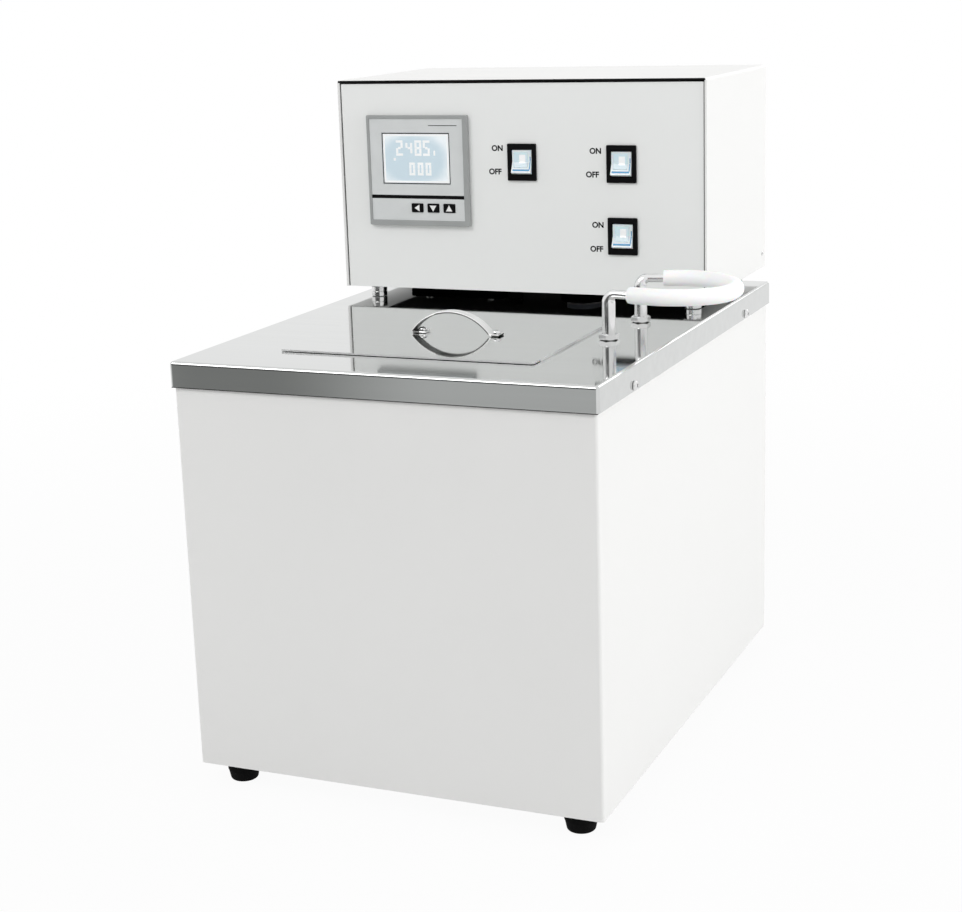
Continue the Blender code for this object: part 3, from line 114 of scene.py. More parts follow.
class Graph:
    """A node tree that is being written."""

    def __init__(self, tree: bpy.types.NodeTree) -> None:
        """Keeps the tree."""
        self.tree = tree

    def node(
        self,
        kind: str,
        settings: dict[str, Any] | None = None,
        inputs: dict[int | str, Any] | None = None,
        output: int | str = 0,
    ) -> Socket:
        """Adds a node of any type.

        Args:
            kind: The node's type.
            settings: Its properties, with "stops" for a ramp's positions and colours.
            inputs: Values or sockets for its inputs.
            output: Which output to return.

        Returns:
            The output's socket.
        """
        made = self.tree.nodes.new(kind)
        for key, value in (settings or {}).items():
            if key == "stops":
                self._set_stops(made, value)
            else:
                setattr(made, key, value)
        for key, value in (inputs or {}).items():
            self.feed(made.inputs[key], value)
        return Socket(self, made.outputs[output])

    @staticmethod
    def _set_stops(ramp: bpy.types.Node, stops: Sequence[tuple[float, Colour]]) -> None:
        """Sets a colour ramp's stops.

        Args:
            ramp: The ramp's node.
            stops: Positions and colours, in order.
        """
        elements = ramp.color_ramp.elements
        while len(elements) < len(stops):
            elements.new(1.0)
        for element, (position, colour) in zip(elements, stops):
            element.position = position
            element.color = (*colour, 1.0)

    def feed(self, target: bpy.types.NodeSocket, value: Any) -> None:
        """Links a socket to an input or sets its value.

        Args:
            target: The input.
            value: A socket or a plain value.
        """
        if isinstance(value, Socket):
            self.tree.links.new(value.link, target)
        elif target.type == "RGBA" and len(value) == 3:
            target.default_value = (*value, 1.0)
        else:
            target.default_value = value

    def place(self) -> Socket:
        """The point on the piece, in metres."""
        return self.node("ShaderNodeTexCoord", output="Object")

    def noise(self, scale: float | tuple[float, float, float], detail: float = 3.0) -> Socket:
        """Smooth noise from 0 to 1.

        Args:
            scale: Waves per metre, the same or one along each axis.
            detail: How much finer noise is added.

        Returns:
            The noise's value.
        """
        stretch = scale if isinstance(scale, tuple) else (scale, scale, scale)
        spot = self.node("ShaderNodeMapping", {}, {"Vector": self.place(), "Scale": stretch})
        return self.node(
            "ShaderNodeTexNoise", {}, {"Vector": spot, "Scale": 1.0, "Detail": detail}
        )

    def mix(self, factor: Any, first: Any, second: Any) -> Socket:
        """Mixes two colours."""
        inputs = {0: factor, 6: first, 7: second}
        return self.node("ShaderNodeMix", {"data_type": "RGBA"}, inputs, output=2)

    def bump(self, height: Socket, depth: float, strength: float = 1.0) -> Socket:
        """A normal that follows a height."""
        inputs = {"Height": height, "Distance": depth, "Strength": strength}
        return self.node("ShaderNodeBump", {}, inputs)

    def fade(self, value: Socket, start: float, end: float, low: float = 0.0) -> Socket:
        """A smooth rise to 1 between two values, from 0 or from a low level."""
        inputs = {"Value": value, "From Min": start, "From Max": end, "To Min": low}
        return self.node("ShaderNodeMapRange", {"interpolation_type": "SMOOTHSTEP"}, inputs)

    def vector(self, operation: str, *values: Any, output: str = "Vector") -> Socket:
        """One Vector Math node's result."""
        inputs = dict(enumerate(values))
        return self.node("ShaderNodeVectorMath", {"operation": operation}, inputs, output)


def shifted(colour: Colour, share: float) -> Colour:
    """A colour made lighter or darker."""
    return tuple(min(1.0, channel * share) for channel in colour)


@dataclass(frozen=True)
class Finish:
    """What every finish has: a name, the record's slot and a colour."""

    name: str
    slot: str
    colour: Colour
    roughness: float = 0.4

    def material(self) -> bpy.types.Material:
        """The finish's material, made once."""
        made = bpy.data.materials.get(self.name)
        if made is None:
            made = bpy.data.materials.new(self.name)
            made.use_nodes = True
            graph = Graph(made.node_tree)
            shader = made.node_tree.nodes["Principled BSDF"]
            for key, value in self.inputs(graph).items():
                graph.feed(shader.inputs[key], value)
        return made

    def inputs(self, graph: Graph) -> dict[str, Any]:
        """The shader's inputs."""
        raise NotImplementedError


@dataclass(frozen=True)
class PowderCoat(Finish):
    """Baked paint: a faint orange peel, and patches a little more or less glossy."""

    peel: float = 0.010 * MM
    metallic: float = 0.0

    def inputs(self, graph: Graph) -> dict[str, Any]:
        """The shader's inputs.

        Args:
            graph: The material's graph.

        Returns:
            Values or sockets by the input's name.
        """
        patches = graph.noise(9.0, 4.0)
        peel = graph.noise(700.0, 2.0)
        dust = graph.noise(60.0, 5.0)
        tone = graph.mix(patches, shifted(self.colour, 0.985), shifted(self.colour, 1.01))
        return {
            "Base Color": tone, "Roughness": self.roughness - 0.05 + patches * 0.06 + dust * 0.04,
            "Metallic": self.metallic, "Coat Weight": 0.12, "Coat Roughness": 0.22,
            "Normal": graph.bump(peel, self.peel, 0.6),
        }


@dataclass(frozen=True)
class SheetSteel(Finish):
    """Rolled or brushed sheet: lines along the grain, and soft smears from wiping."""

    way: Way = Way.ALONG_X
    grain: float = 0.0012 * MM
    smear: float = 0.08

    def inputs(self, graph: Graph) -> dict[str, Any]:
        """The shader's inputs.

        Args:
            graph: The material's graph.

        Returns:
            Values or sockets by the input's name.
        """
        lines = graph.noise(tuple(3.0 * n for n in self.way.value), 3.0)
        streaks = graph.noise(tuple(0.25 * n for n in self.way.value), 2.0)
        smears = graph.noise(14.0, 5.0) ** 2.0
        tone = graph.mix(streaks, shifted(self.colour, 0.95), shifted(self.colour, 1.04))
        return {
            "Base Color": tone, "Roughness": self.roughness + lines * 0.05 + smears * self.smear,
            "Metallic": 1.0, "Normal": graph.bump(lines, self.grain, 0.5),
        }


@dataclass(frozen=True)
class TurnedSteel(Finish):
    """Bright round pieces: fine tool marks and a few dull spots."""

    marks: float = 0.0015 * MM

    def inputs(self, graph: Graph) -> dict[str, Any]:
        """The shader's inputs.

        Args:
            graph: The material's graph.

        Returns:
            Values or sockets by the input's name.
        """
        marks = graph.noise((900.0, 900.0, 2600.0), 2.0)
        spots = graph.noise(120.0, 5.0) ** 3.0
        tone = graph.mix(spots, self.colour, shifted(self.colour, 0.82))
        return {
            "Base Color": tone, "Roughness": self.roughness + marks * 0.04 + spots * 0.25,
            "Metallic": 1.0, "Normal": graph.bump(marks, self.marks, 0.5),
        }


@dataclass(frozen=True)
class Moulded(Finish):
    """Plastic, rubber, enamel or glass from a mould: an even fine grain and rubbed patches."""

    grain: float = 0.012 * MM
    grain_scale: float = 2200.0
    coat: float = 0.0
    alpha: float = 1.0
    subsurface: float = 0.0
    transmission: float = 0.0
    emission: float = 0.0
    deep: float = 0.90
    specular: float = 0.5

    def inputs(self, graph: Graph) -> dict[str, Any]:
        """The shader's inputs.

        Args:
            graph: The material's graph.

        Returns:
            Values or sockets by the input's name.
        """
        grain = graph.noise(self.grain_scale, 2.0)
        rubbed = graph.noise(45.0, 4.0)
        tone = graph.mix(rubbed, shifted(self.colour, self.deep), shifted(self.colour, 1.05))
        found: dict[str, Any] = {
            "Base Color": tone, "Roughness": self.roughness - 0.06 + rubbed * 0.12,
            "Coat Weight": self.coat, "Specular IOR Level": self.specular, "Alpha": self.alpha,
            "Transmission Weight": self.transmission, "Normal": graph.bump(grain, self.grain, 0.5),
        }
        if self.subsurface:
            found |= {"Subsurface Weight": self.subsurface, "Subsurface Scale": 3.0 * MM}
        if self.emission:
            found |= {"Emission Color": tone, "Emission Strength": self.emission}
        return found


@dataclass(frozen=True)
class Fibre(Finish):
    """Mineral wool: tangled fibres, with painted shade in the hollows between them."""

    def inputs(self, graph: Graph) -> dict[str, Any]:
        """The shader's inputs.

        Args:
            graph: The material's graph.

        Returns:
            Values or sockets by the input's name.
        """
        strands_and_shade = graph.noise((300.0, 300.0, 1400.0), 6.0)
        # The tone follows the bump's noise, darker where it is low: painted shade in the hollows.
        tone = graph.mix(strands_and_shade, shifted(self.colour, 0.6), shifted(self.colour, 1.2))
        return {
            "Base Color": tone, "Roughness": self.roughness,
            "Normal": graph.bump(strands_and_shade, 0.6 * MM, 0.9),
        }


@dataclass(frozen=True)
class Backlight(Finish):
    """A liquid crystal's lit field, paler towards its edges."""

    edge: Colour = (0.88, 0.93, 0.96)
    centre: tuple[float, float, float] = (0.0, 0.0, 0.0)
    reach: tuple[float, float, float] = (1.0, 1.0, 1.0)

    def inputs(self, graph: Graph) -> dict[str, Any]:
        """The shader's inputs.

        Args:
            graph: The material's graph.

        Returns:
            Values or sockets by the input's name.
        """
        spot = graph.vector("SUBTRACT", graph.place(), self.centre)
        far = graph.vector("LENGTH", graph.vector("DIVIDE", spot, self.reach), output="Value")
        rim = graph.fade(far + graph.noise(120.0, 2.0) * 0.15, 0.85, 1.35)
        tone = graph.mix(rim, self.colour, self.edge)
        return {
            "Base Color": tone, "Roughness": self.roughness, "Emission Color": tone,
            "Emission Strength": 0.10,
        }


CASE_PAINT = PowderCoat("case_paint_coat", "case_paint", (0.80, 0.80, 0.79), 0.36)
PANEL_PAINT = PowderCoat("panel_paint_coat", "panel_paint", (0.845, 0.855, 0.845), 0.40)
# Painted shade: the tray is near-black with almost no sheen, so the gap under the head reads as
# shadow.
TRAY_PAINTED_SHADE = Moulded("tray_painted_shade", "dark_enamel", (0.004, 0.004, 0.004), 0.85, specular=0.05)
MOTOR_PAINT = PowderCoat("motor_enamel", "motor_paint", (0.10, 0.11, 0.13), 0.42, metallic=0.3)
PLATE_STEEL = SheetSteel("plate_steel", "stainless", (0.63, 0.64, 0.635), 0.02, smear=0.03)
LID_STEEL = SheetSteel("lid_steel", "stainless", (0.63, 0.64, 0.635), 0.02, smear=0.03)
TANK_STEEL = SheetSteel("tank_steel", "stainless", (0.60, 0.60, 0.59), 0.20, way=Way.ALONG_Z)
WORKS_STEEL = TurnedSteel("works_steel", "stainless", (0.62, 0.62, 0.61), 0.18)
ZINC = SheetSteel("zinc_plating", "zinc_steel", (0.58, 0.59, 0.60), 0.30, way=Way.NONE, smear=0.2)
BUFFED = TurnedSteel("buffed_edge", "stainless", (0.80, 0.80, 0.80), 0.45)
BRIGHT = TurnedSteel("bright_steel_turned", "bright_steel", (0.80, 0.80, 0.80), 0.12)
SATIN = TurnedSteel("bright_steel_satin", "bright_steel", (0.94, 0.94, 0.935), 0.40)
# Painted shade: dark steel over the handle's underside, the lower half of its front edge and its
# left tip.
STRAP_PAINTED_SHADE = TurnedSteel("bright_steel_painted_shade", "bright_steel", (0.20, 0.20, 0.195), 0.35)
# Painted shade: near-black with no sheen, for the column, probe boss and heater plate that stand in
# the shadow under the head.
STEEL_PAINTED_SHADE = Moulded("steel_painted_shade", "stainless", (0.003, 0.003, 0.003), 0.8, specular=0.0)
ZINC_PAINTED_SHADE = Moulded("zinc_painted_shade", "zinc_steel", (0.003, 0.003, 0.003), 0.8, specular=0.0)
RUBBER = Moulded("black_rubber_moulded", "black_rubber", (0.005, 0.005, 0.005), 0.80, specular=0.06)
BLACK = Moulded("black_moulding", "black_plastic", (0.004, 0.004, 0.0045), 0.50, specular=0.06)
GREY_FRAME = Moulded("grey_moulding", "grey_plastic", (0.345, 0.357, 0.355), 0.42)
SILVER_FACE = Moulded("silver_face", "grey_plastic", (0.68, 0.70, 0.70), 0.34, coat=0.2)
ROCKER_SHELL = Moulded(
    "rocker_shell", "rocker_plastic", (0.80, 0.86, 0.88), 0.22, grain=0.002 * MM, coat=0.4,
    subsurface=0.15,
)
# Painted light and painted shade: the upper lens is lighter and glows faintly, the lower lens
# darker, so the two halves read alike under the lamps.
LENS_PAINTED_LIGHT = Moulded(
    "rocker_lens_painted_light", "rocker_plastic", (0.73, 0.85, 0.90), 0.12, grain=0.001 * MM, coat=0.6,
    subsurface=0.2, emission=0.04,
)
LOWER_LENS_PAINTED_SHADE = Moulded(
    "rocker_lower_lens_painted_shade", "rocker_plastic", (0.40, 0.51, 0.57), 0.12, grain=0.001 * MM, coat=0.6,
    subsurface=0.2,
)
# Painted highlight: a pale, faintly glowing patch on each lens.
ROCKER_PAINTED_GLINT = Moulded(
    "rocker_painted_glint", "rocker_plastic", (0.95, 0.965, 0.97), 0.2, grain=0.001 * MM, coat=0.4,
    emission=0.08,
)
ROCKER_EDGE = Moulded(
    "rocker_edge", "rocker_plastic", (0.004, 0.21, 0.44), 0.25, grain=0.001 * MM, emission=0.02,
)
WHITE = Moulded("white_moulding", "white_plastic", (0.75, 0.75, 0.72), 0.40)
MARK_WHITE = Moulded("white_mark", "display_glass", (0.93, 0.95, 0.96), 0.35, emission=0.10)
KEY_MARK = Moulded("key_mark", "black_plastic", (0.85, 0.85, 0.84), 0.40)
PRINT = Moulded(
    "black_print", "panel_paint", (0.004, 0.004, 0.005), 0.6, grain=0.004 * MM, specular=0.0
)
SILICONE = Moulded(
    "milky_silicone", "silicone", (0.94, 0.94, 0.937), 0.42, grain=0.006 * MM,
    grain_scale=900.0, subsurface=0.35, deep=0.97,
)
WOOL = Fibre("mineral_wool_mat", "mineral_wool", (0.66, 0.58, 0.38), 0.95)
BRONZE = TurnedSteel("sintered_bronze", "bronze", (0.55, 0.36, 0.18), 0.35)
BRASS = TurnedSteel("plain_brass", "brass", (0.70, 0.52, 0.25), 0.28)


@dataclass(frozen=True)
class Seat:
    """A spot on a surface, with the ways that are right, up and out there."""

    spot: Vector
    right: Vector = X_WAY
    up: Vector = Z_WAY

    @property
    def out(self) -> Vector:
        """The way out of the surface."""
        return self.right.cross(self.up)

    def at(self, right: float, up: float, out: float = 0.0) -> Vector:
        """A point measured from the spot."""
        return self.spot + right * self.right + up * self.up + out * self.out

    def moved(self, right: float = 0.0, up: float = 0.0, out: float = 0.0) -> Seat:
        """The same ways at another spot."""
        return Seat(self.at(right, up, out), self.right, self.up)


@dataclass(frozen=True)
class Pane:
    """A rectangle on a surface, with rounded corners."""

    left: float
    right: float
    low: float
    high: float
    corner: float = 0.3 * MM

    @classmethod
    def sized(cls, width: float, height: float, corner: float = 0.3 * MM) -> Pane:
        """A rectangle about its middle."""
        return cls(-width / 2, width / 2, -height / 2, height / 2, corner)

    def shrunk(self, by: float) -> Pane:
        """The same rectangle drawn in on every side."""
        corner = max(self.corner - by, 0.02 * MM)
        return Pane(self.left + by, self.right - by, self.low + by, self.high - by, corner)

    def ring(self, seat: Seat, out: float = 0.0, steps: int = 6) -> Ring:
        """The rectangle's outline, anticlockwise seen from outside.

        Args:
            seat: The surface.
            out: How far out of it.
            steps: Faces round each corner.

        Returns:
            The outline's points.
        """
        corners = (
            (self.right - self.corner, self.low + self.corner, 270),
            (self.right - self.corner, self.high - self.corner, 0),
            (self.left + self.corner, self.high - self.corner, 90),
            (self.left + self.corner, self.low + self.corner, 180),
        )
        return [
            seat.at(x, y, out)
            for across, up, start in corners
            for x, y in arc((across, up), self.corner, start, start + 90, steps)
        ]

    def section(self, steps: int) -> Pairs:
        """The outline as plain pairs, for a sweep."""
        return [(point.x, point.y) for point in self.ring(level(0), 0.0, steps)]

    def rounded(self, out: float, soft: float) -> list[tuple[Pane, float]]:
        """The outlines and heights of an outer edge that is rounded up to a height."""
        turns = arc((0, 0), soft, 0, 90, 4)
        return [(self.shrunk(soft - x), out - soft + y) for x, y in turns]


def arc(
    centre: tuple[float, float], radius: float, start: float, end: float, steps: int = 6
) -> list[tuple[float, float]]:
    """Points along an arc."""
    angles = [math.radians(start + (end - start) * n / steps) for n in range(steps + 1)]
    return [(centre[0] + radius * math.cos(a), centre[1] + radius * math.sin(a)) for a in angles]


def circle(seat: Seat, radius: float, out: float = 0.0, steps: int = 40) -> Ring:
    """A circle about a seat's spot."""
    return [seat.at(x, y, out) for x, y in arc((0.0, 0.0), radius, 0, 360, steps)[:-1]]


class Shape:
    """A mesh in the making, whose new faces take the finish in use."""

    def __init__(self, finish: Finish | None = None) -> None:
        """Starts with nothing.

        Args:
            finish: The finish in use at first.
        """
        self.mesh = bmesh.new()
        self.finishes: list[Finish] = []
        self.index = 0
        if finish:
            self.use(finish)

    def use(self, finish: Finish) -> Shape:
        """Takes a finish for the faces that come next.

        Args:
            finish: The finish.

        Returns:
            This shape.
        """
        if finish not in self.finishes:
            self.finishes.append(finish)
        self.index = self.finishes.index(finish)
        return self

    def face(self, corners: Iterable[bmesh.types.BMVert]) -> None:
        """Adds one face."""
        self.mesh.faces.new(tuple(corners)).material_index = self.index

    def loft(self, rings: Sequence[Ring], loop: bool = False) -> Shape:
        """Joins rings of as many points each, and closes both ends.

        Args:
            rings: The rings in order.
            loop: Whether the last ring joins the first instead.

        Returns:
            This shape.
        """
        rows = [[self.mesh.verts.new(point) for point in ring] for ring in rings]
        pairs = list(zip(rows, rows[1:]))
        if loop:
            pairs.append((rows[-1], rows[0]))
        for lower, upper in pairs:
            for here in range(len(lower)):
                after = (here + 1) % len(lower)
                self.face((lower[here], lower[after], upper[after], upper[here]))
        if not loop:
            self.face(reversed(rows[0]))
            self.face(rows[-1])
        return self

    def prism(self, seat: Seat, outline: Pairs, low: float, high: float) -> Shape:
        """Raises an outline straight out of a surface."""
        return self.loft([[seat.at(x, y, out) for x, y in outline] for out in (low, high)])

    def slab(
        self, seat: Seat, pane: Pane, low: float, high: float, edge: float = 0.0, steps: int = 4
    ) -> Shape:
        """Raises a rectangle out of a surface and rounds its outer edge.

        Args:
            seat: The surface.
            pane: The rectangle.
            low: Where it starts, out of the surface.
            high: Where it ends.
            edge: The radius of the outer edge.
            steps: Faces round that edge.

        Returns:
            This shape.
        """
        levels = [(0.0, low)]
        if edge:
            levels += [(edge - x, y) for x, y in arc((0.0, high - edge), edge, 0, 90, steps)]
        else:
            levels.append((0.0, high))
        return self.loft([pane.shrunk(inset).ring(seat, out) for inset, out in levels])

    def frame(self, seat: Seat, outside: Pane, inside: Pane, low: float, high: float) -> Shape:
        """Raises the field between two rectangles out of a surface."""
        ends = ((outside, low), (outside, high), (inside, high), (inside, low))
        return self.loft([pane.ring(seat, out) for pane, out in ends], loop=True)

    def lathe(self, seat: Seat, profile: Pairs, steps: int = 40, loop: bool = False) -> Shape:
        """Turns a profile about the way out of a surface."""
        return self.loft([circle(seat, radius, out, steps) for radius, out in profile], loop)

    def sweep(self, path: Sequence[Vector], section: Pairs, side: Vector) -> Shape:
        """Draws a section along a path that lies in one plane.

        Args:
            path: The path's points.
            section: The section's points as (along side, square to side and path).
            side: The way that is square to the path's plane.

        Returns:
            This shape.
        """
        rings = []
        for index, point in enumerate(path):
            along = path[min(index + 1, len(path) - 1)] - path[max(index - 1, 0)]
            out = side.cross(along).normalized()
            rings.append([point + across * side + away * out for across, away in section])
        return self.loft(rings)

    def tube(
        self, path: Sequence[Vector], radii: Sequence[float], bore: float = 0.0, steps: int = 24
    ) -> Shape:
        """Draws a rod or pipe along a path.

        Args:
            path: The path's points.
            radii: The radius at each of them.
            bore: The radius of the bore, or 0 for a rod.
            steps: Faces round the path.

        Returns:
            This shape.
        """
        outer, inner = [], []
        along = (path[1] - path[0]).normalized()
        across = along.orthogonal().normalized()
        for index, point in enumerate(path):
            turned = (path[min(index + 1, len(path) - 1)] - path[max(index - 1, 0)]).normalized()
            across = along.rotation_difference(turned) @ across
            along = turned
            seat = Seat(point, across, along.cross(across))
            outer.append(circle(seat, radii[index], steps=steps))
            inner.append(circle(seat, bore, steps=steps))
        return self.loft(outer + inner[::-1], loop=True) if bore else self.loft(outer)

    def words(self, seat: Seat, body: str, size: float, depth: float = 0.03 * MM) -> Shape:
        """Prints words about a seat's spot.

        Args:
            seat: The surface.
            body: The words.
            size: The font's size.
            depth: The ink's thickness.

        Returns:
            This shape.
        """
        curve = bpy.data.curves.new(body, "FONT")
        curve.body, curve.size, curve.extrude = body, size, depth
        curve.align_x, curve.align_y, curve.offset = "CENTER", "CENTER", 0.036 * size
        holder = bpy.data.objects.new(body, curve)
        printed = bpy.data.meshes.new_from_object(holder)
        turn = Matrix((seat.right, seat.up, seat.out)).transposed().to_4x4()
        printed.transform(Matrix.Translation(seat.spot) @ turn)
        known = set(self.mesh.faces)
        self.mesh.from_mesh(printed)
        for face in self.mesh.faces:
            if face not in known:
                face.material_index = self.index
        bpy.data.objects.remove(holder)
        bpy.data.curves.remove(curve)
        bpy.data.meshes.remove(printed)
        return self

    def soften(self, width: float, steps: int = 3) -> Shape:
        """Rounds every sharp edge of the shape.

        Args:
            width: How far from the edge the rounding starts.
            steps: Faces round it.

        Returns:
            This shape.
        """
        bmesh.ops.recalc_face_normals(self.mesh, faces=self.mesh.faces)
        sharp = [edge for edge in self.mesh.edges if edge.calc_face_angle(0.0) > math.radians(30)]
        bmesh.ops.bevel(
            self.mesh, geom=sharp, offset=width, segments=steps, profile=0.5, affect="EDGES",
            clamp_overlap=True,
        )
        return self

    def _holder(self) -> bpy.types.Object:
        """An object for Blender's Boolean to work on."""
        bmesh.ops.recalc_face_normals(self.mesh, faces=self.mesh.faces)
        mesh = bpy.data.meshes.new("blank")
        self.mesh.to_mesh(mesh)
        holder = bpy.data.objects.new("blank", mesh)
        bpy.context.collection.objects.link(holder)
        return holder

    def cut(self, cutter: Shape, operation: str = "DIFFERENCE") -> Shape:
        """Takes another shape away from this one.

        Args:
            cutter: The other shape, used up by this.
            operation: Blender's name for another way to join the two.

        Returns:
            This shape.
        """
        holder, tool = self._holder(), cutter._holder()
        boolean = holder.modifiers.new("cut", "BOOLEAN")
        boolean.object, boolean.operation, boolean.solver = tool, operation, "EXACT"
        graph = bpy.context.evaluated_depsgraph_get()
        mesh = bpy.data.meshes.new_from_object(holder.evaluated_get(graph))
        self.mesh.clear()
        self.mesh.from_mesh(mesh)
        used = [holder.data, tool.data, mesh]
        bpy.data.objects.remove(holder)
        bpy.data.objects.remove(tool)
        for data in used:
            bpy.data.meshes.remove(data)
        return self

    def piece(self, name: str, body: str, *nodes: str, smooth: float = 34.0) -> bpy.types.Object:
        """Makes the shape a piece of the scene.

        Args:
            name: The piece's name.
            body: The moving body that it rides on.
            *nodes: The nodes that it stands for.
            smooth: The angle in degrees under which two faces shade as one.

        Returns:
            The piece.
        """
        bmesh.ops.recalc_face_normals(self.mesh, faces=self.mesh.faces)
        mesh = bpy.data.meshes.new(name)
        self.mesh.to_mesh(mesh)
        self.mesh.free()
        for finish in self.finishes:
            mesh.materials.append(finish.material())
        mesh.shade_smooth()
        mesh.set_sharp_from_angle(angle=math.radians(smooth))
        made = bpy.data.objects.new(name, mesh)
        bpy.context.collection.objects.link(made)
        made.modifiers.new("even_shading", "WEIGHTED_NORMAL").keep_sharp = True
        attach(made, body)
        if nodes:
            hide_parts(*nodes)
        LOG.info("%s: %d faces on %s", name, len(mesh.polygons), body)
        return made


def dress(finish: Finish, *nodes: str) -> None:
    """Gives nodes that keep their shape a finish.

    Args:
        finish: The finish.
        *nodes: The nodes' names.
    """
    for name in nodes:
        node = bpy.data.objects[name]
        for slot in node.material_slots:
            slot.material = finish.material()
        LOG.info("%s: keeps its shape, in %s", name, finish.name)


def span(node: str) -> tuple[Vector, Vector]:
    """A node's lowest and highest corner."""
    low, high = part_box(node)
    return Vector(low), Vector(high)


def centre(node: str) -> Vector:
    """The middle of a node's box."""
    low, high = span(node)
    return (low + high) / 2


def footprint(node: str, corner: float) -> Pane:
    """A node's box seen from above."""
    low, high = span(node)
    return Pane(low.x, high.x, low.y, high.y, corner)


def level(z: float, spot: Vector = Vector()) -> Seat:
    """A horizontal surface at a height, over the origin or another spot."""
    return Seat(Vector((spot.x, spot.y, z)), X_WAY, Y_WAY)


def bent(corners: Sequence[Vector], radii: Sequence[float], steps: int = 10) -> list[Vector]:
    """A path whose corners are rounded.

    Args:
        corners: The path's ends and corners.
        radii: The radius at each corner between the ends.
        steps: Chords round each corner.

    Returns:
        The path's points.
    """
    path = [corners[0]]
    for before, corner, after, radius in zip(corners, corners[1:], corners[2:], radii):
        to, on = (before - corner).normalized(), (after - corner).normalized()
        half = to.angle(on) / 2
        hub = corner + (to + on).normalized() * (radius / math.sin(half))
        start = corner + to * (radius / math.tan(half)) - hub
        axis = on.cross(to)
        for step in range(steps + 1):
            turn = Matrix.Rotation((math.pi - 2 * half) * step / steps, 3, axis)
            path.append(hub + turn @ start)
    return [*path, corners[-1]]


@dataclass(frozen=True)
class PanScrew:
    """A pan-head screw with a cross recess."""

    radius: float = 3.8 * MM
    height: float = 2.4 * MM
    shank: float = 1.6 * MM
    slot_width: float = 0.75 * MM
    slot_reach: float = 1.9 * MM
    slot_depth: float = 1.3 * MM

    def shape(self, seat: Seat, length: float, turn: float = 25.0) -> Shape:
        """Builds the screw.

        Args:
            seat: The surface that its head sits on.
            length: How far its shank goes in.
            turn: How far the recess is turned, in degrees.

        Returns:
            The screw's shape.
        """
        crown, shoulder = SEAT + self.height, SEAT + 0.3 * self.height
        flat = 0.45 * self.radius
        dome = [
            (flat + (self.radius - flat) * x, shoulder + (crown - shoulder) * y)
            for x, y in arc((0.0, 0.0), 1.0, 0, 90, 8)
        ]
        foot = [(AXIS, -length), (self.shank, -length)]
        foot += [(self.shank, SEAT), (self.radius, SEAT)]
        screw = Shape(BRIGHT).lathe(seat, [*foot, *dome, (AXIS, crown)], 36)
        thin, far = self.slot_width / 2, self.slot_reach
        cross = [
            (far, -thin), (far, thin), (thin, thin), (thin, far), (-thin, far), (-thin, thin),
            (-far, thin), (-far, -thin), (-thin, -thin), (-thin, -far), (thin, -far), (thin, -thin),
        ]
        angle = math.radians(turn)
        right = math.cos(angle) * seat.right + math.sin(angle) * seat.up
        turned = Seat(seat.spot, right, seat.out.cross(right))
        recess = Shape(BRIGHT).prism(turned, cross, crown - self.slot_depth, crown + MM)
        return screw.cut(recess)


@dataclass(frozen=True)
class HexNut:
    """A chamfered hexagon nut with two flats square to the seat's right."""

    flats: float = 14.2 * MM
    height: float = 4.5 * MM
    bore: float = 5.6 * MM
    land_share: float = 0.955
    steps: int = 72

    def shape(self, seat: Seat, finish: Finish) -> Shape:
        """Builds the nut.

        Args:
            seat: The surface that it sits on.
            finish: Its finish.

        Returns:
            The nut's shape.
        """
        angles = [360.0 * n / self.steps for n in range(self.steps)]
        land = self.land_share * self.flats / 2
        edge = [
            self.flats / 2 / math.cos(math.radians((angle + 30) % 60 - 30)) for angle in angles
        ]
        drop = [(radius - land) * math.tan(math.radians(30)) for radius in edge]

        def hexagon(outs: Sequence[float]) -> Ring:
            """The hexagon's outline at these heights."""
            return [
                seat.at(r * math.cos(math.radians(a)), r * math.sin(math.radians(a)), out)
                for a, r, out in zip(angles, edge, outs)
            ]

        rings = [
            circle(seat, self.bore, 0.0, self.steps), circle(seat, land, 0.0, self.steps),
            hexagon(drop), hexagon([self.height - fall for fall in drop]),
            circle(seat, land, self.height, self.steps),
            circle(seat, self.bore + 0.5 * MM, self.height, self.steps),
            circle(seat, self.bore, self.height - 0.5 * MM, self.steps),
        ]
        return Shape(finish).loft(rings, loop=True)


